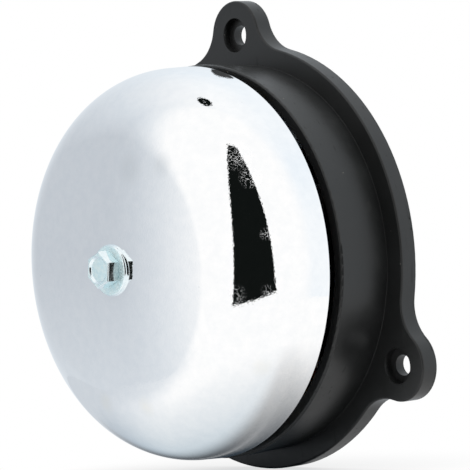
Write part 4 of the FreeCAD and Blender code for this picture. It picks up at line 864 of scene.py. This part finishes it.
# the camera sees the shadow fainter than mirrors do
faint = addNode(tree, "ShaderNodeMath", {"operation": "MULTIPLY", 1: studio["shadowLost"]},
                {0: rays.outputs["Is Camera Ray"]})
shaded = addNode(tree, "ShaderNodeMix", {"data_type": "RGBA", 7: white},
                 {0: faint.outputs["Value"], 6: shaded}).outputs[2]
glow = addNode(tree, "ShaderNodeEmission", {"Strength": 1.0}, {"Color": shaded})
matte = addNode(tree, "ShaderNodeBsdfDiffuse", {"Color": toLinear(studio["boardColour"])})
either = addNode(tree, "ShaderNodeMath", {"operation": "MAXIMUM"},
                 {0: rays.outputs["Is Glossy Ray"], 1: rays.outputs["Is Camera Ray"]})
chosen = addNode(tree, "ShaderNodeMixShader", None,
                 {0: either.outputs["Value"], 1: matte.outputs["BSDF"], 2: glow.outputs["Emission"]})
addNode(tree, "ShaderNodeOutputMaterial", None, {"Surface": chosen.outputs["Shader"]})


def sheetPiece(name, grid, material):
    # An open sheet of points (rows, columns, 3) for the studio
    rows, columns, _ = grid.shape
    index = np.arange(rows * columns).reshape(rows, columns)
    faces = np.stack([index[:-1, :-1], index[:-1, 1:], index[1:, 1:], index[1:, :-1]], -1)
    piece = addObject(name, gridMesh(name, grid, faces))
    piece.data.materials.append(material)
    return piece


def discGrid(reach, place, height):
    # A flat ring or disc: radius grows along the rows, angle along the columns
    angle = np.linspace(0, 2 * math.pi, studio["roundSteps"])
    return np.stack([place[0] + np.outer(reach, np.cos(angle)),
                     place[1] + np.outer(reach, np.sin(angle)),
                     np.full((len(reach), len(angle)), height)], -1) * mm


boardReach = np.linspace(0, studio["boardRadius"], studio["boardRows"])
sheetPiece("floor", discGrid(boardReach, (0, 0), studio["board"]), board)

black = bpy.data.materials.new("black card")
tree = emptyTree(black)
dark = addNode(tree, "ShaderNodeEmission", {"Color": toLinear(studio["cardColour"]), "Strength": 1.0})
addNode(tree, "ShaderNodeOutputMaterial", None, {"Surface": dark.outputs["Emission"]})


def cardGrid(dims):
    # A flat upright card, wide at the foot and narrow at the top. Its left and right edges are a
    # start plus a slope times the height, less a bow times its square; the right foot flares out.
    foot, flare = dims["cardFoot"], dims["cardFlare"]
    rise = np.linspace(foot, dims["cardTop"], dims["cardRows"])[:, None]
    left, right = (start + slope * rise - dims["cardBow"] * rise ** 2
                   for start, slope in (dims["cardLeft"], dims["cardRight"]))
    right = right + flare * np.exp(-(rise - foot) / flare)
    across = left + (right - left) * np.linspace(0, 1, dims["cardColumns"])
    facing, along = direction(dims["cardAzimuth"], 0), direction(dims["cardAzimuth"] + 90, 0)
    return (facing * dims["cardDistance"] + across[..., None] * along
            + (rise + 0 * across)[..., None] * (0, 0, 1)) * mm


card = sheetPiece("lens_card", cardGrid(studio), black)
lampReach = np.linspace(studio["lampHole"], studio["lampRadius"], studio["lampRows"])
cap = sheetPiece("lamp_cap", discGrid(lampReach, studio["lampPlace"], studio["lampHeight"]), black)
for piece in (card, cap):
    piece.visible_camera = False
    piece.visible_diffuse = False
    piece.visible_shadow = False

lamps = {
    "key": {"azimuth": 100, "elevation": 50, "distance": 900, "size": 600, "power": 12.0},
    "front": {"azimuth": 10, "elevation": 35, "distance": 900, "size": 500, "power": 2.5},
    "back": {"azimuth": 200, "elevation": 40, "distance": 1000, "size": 600, "power": 5.0},
}
for name, lamp in lamps.items():
    light = bpy.data.lights.new(name, "AREA")
    light.size = lamp["size"] * mm
    light.energy = lamp["power"]
    holder = addObject(name, light)
    away = Vector(direction(lamp["azimuth"], lamp["elevation"]).tolist())
    holder.location = away * lamp["distance"] * mm
    holder.rotation_euler = away.to_track_quat("Z", "Y").to_euler()
    holder.visible_glossy = False
    holder.visible_camera = False


# Camera

view = {"azimuth": 49.1001, "elevation": -0.1735, "roll": -4.6761, "distance": 676.686,
        "right": -8.1688, "up": 5.6787, "lens": 198.696, "sensor": 36.0}


def cameraMatrix(dims):
    # Stand back along the view direction, roll, then slide sideways and up in the picture plane
    back = Vector(direction(dims["azimuth"], dims["elevation"]).tolist())
    right = (-back).cross(Vector((0, 0, 1))).normalized()
    up = right.cross(-back)
    roll = math.radians(dims["roll"])
    turnedRight = right * math.cos(roll) + up * math.sin(roll)
    turnedUp = up * math.cos(roll) - right * math.sin(roll)
    spot = (back * dims["distance"] + turnedRight * dims["right"] + turnedUp * dims["up"]) * mm
    matrix = Matrix((turnedRight, turnedUp, back)).transposed().to_4x4()
    matrix.translation = spot
    return matrix


camera = addObject("camera", bpy.data.cameras.new("camera"))
camera.data.lens = view["lens"]
camera.data.sensor_width = view["sensor"]
camera.matrix_world = cameraMatrix(view)
bpy.context.scene.camera = camera
bpy.context.scene.view_settings.view_transform = "Standard"
print("studio and camera placed")
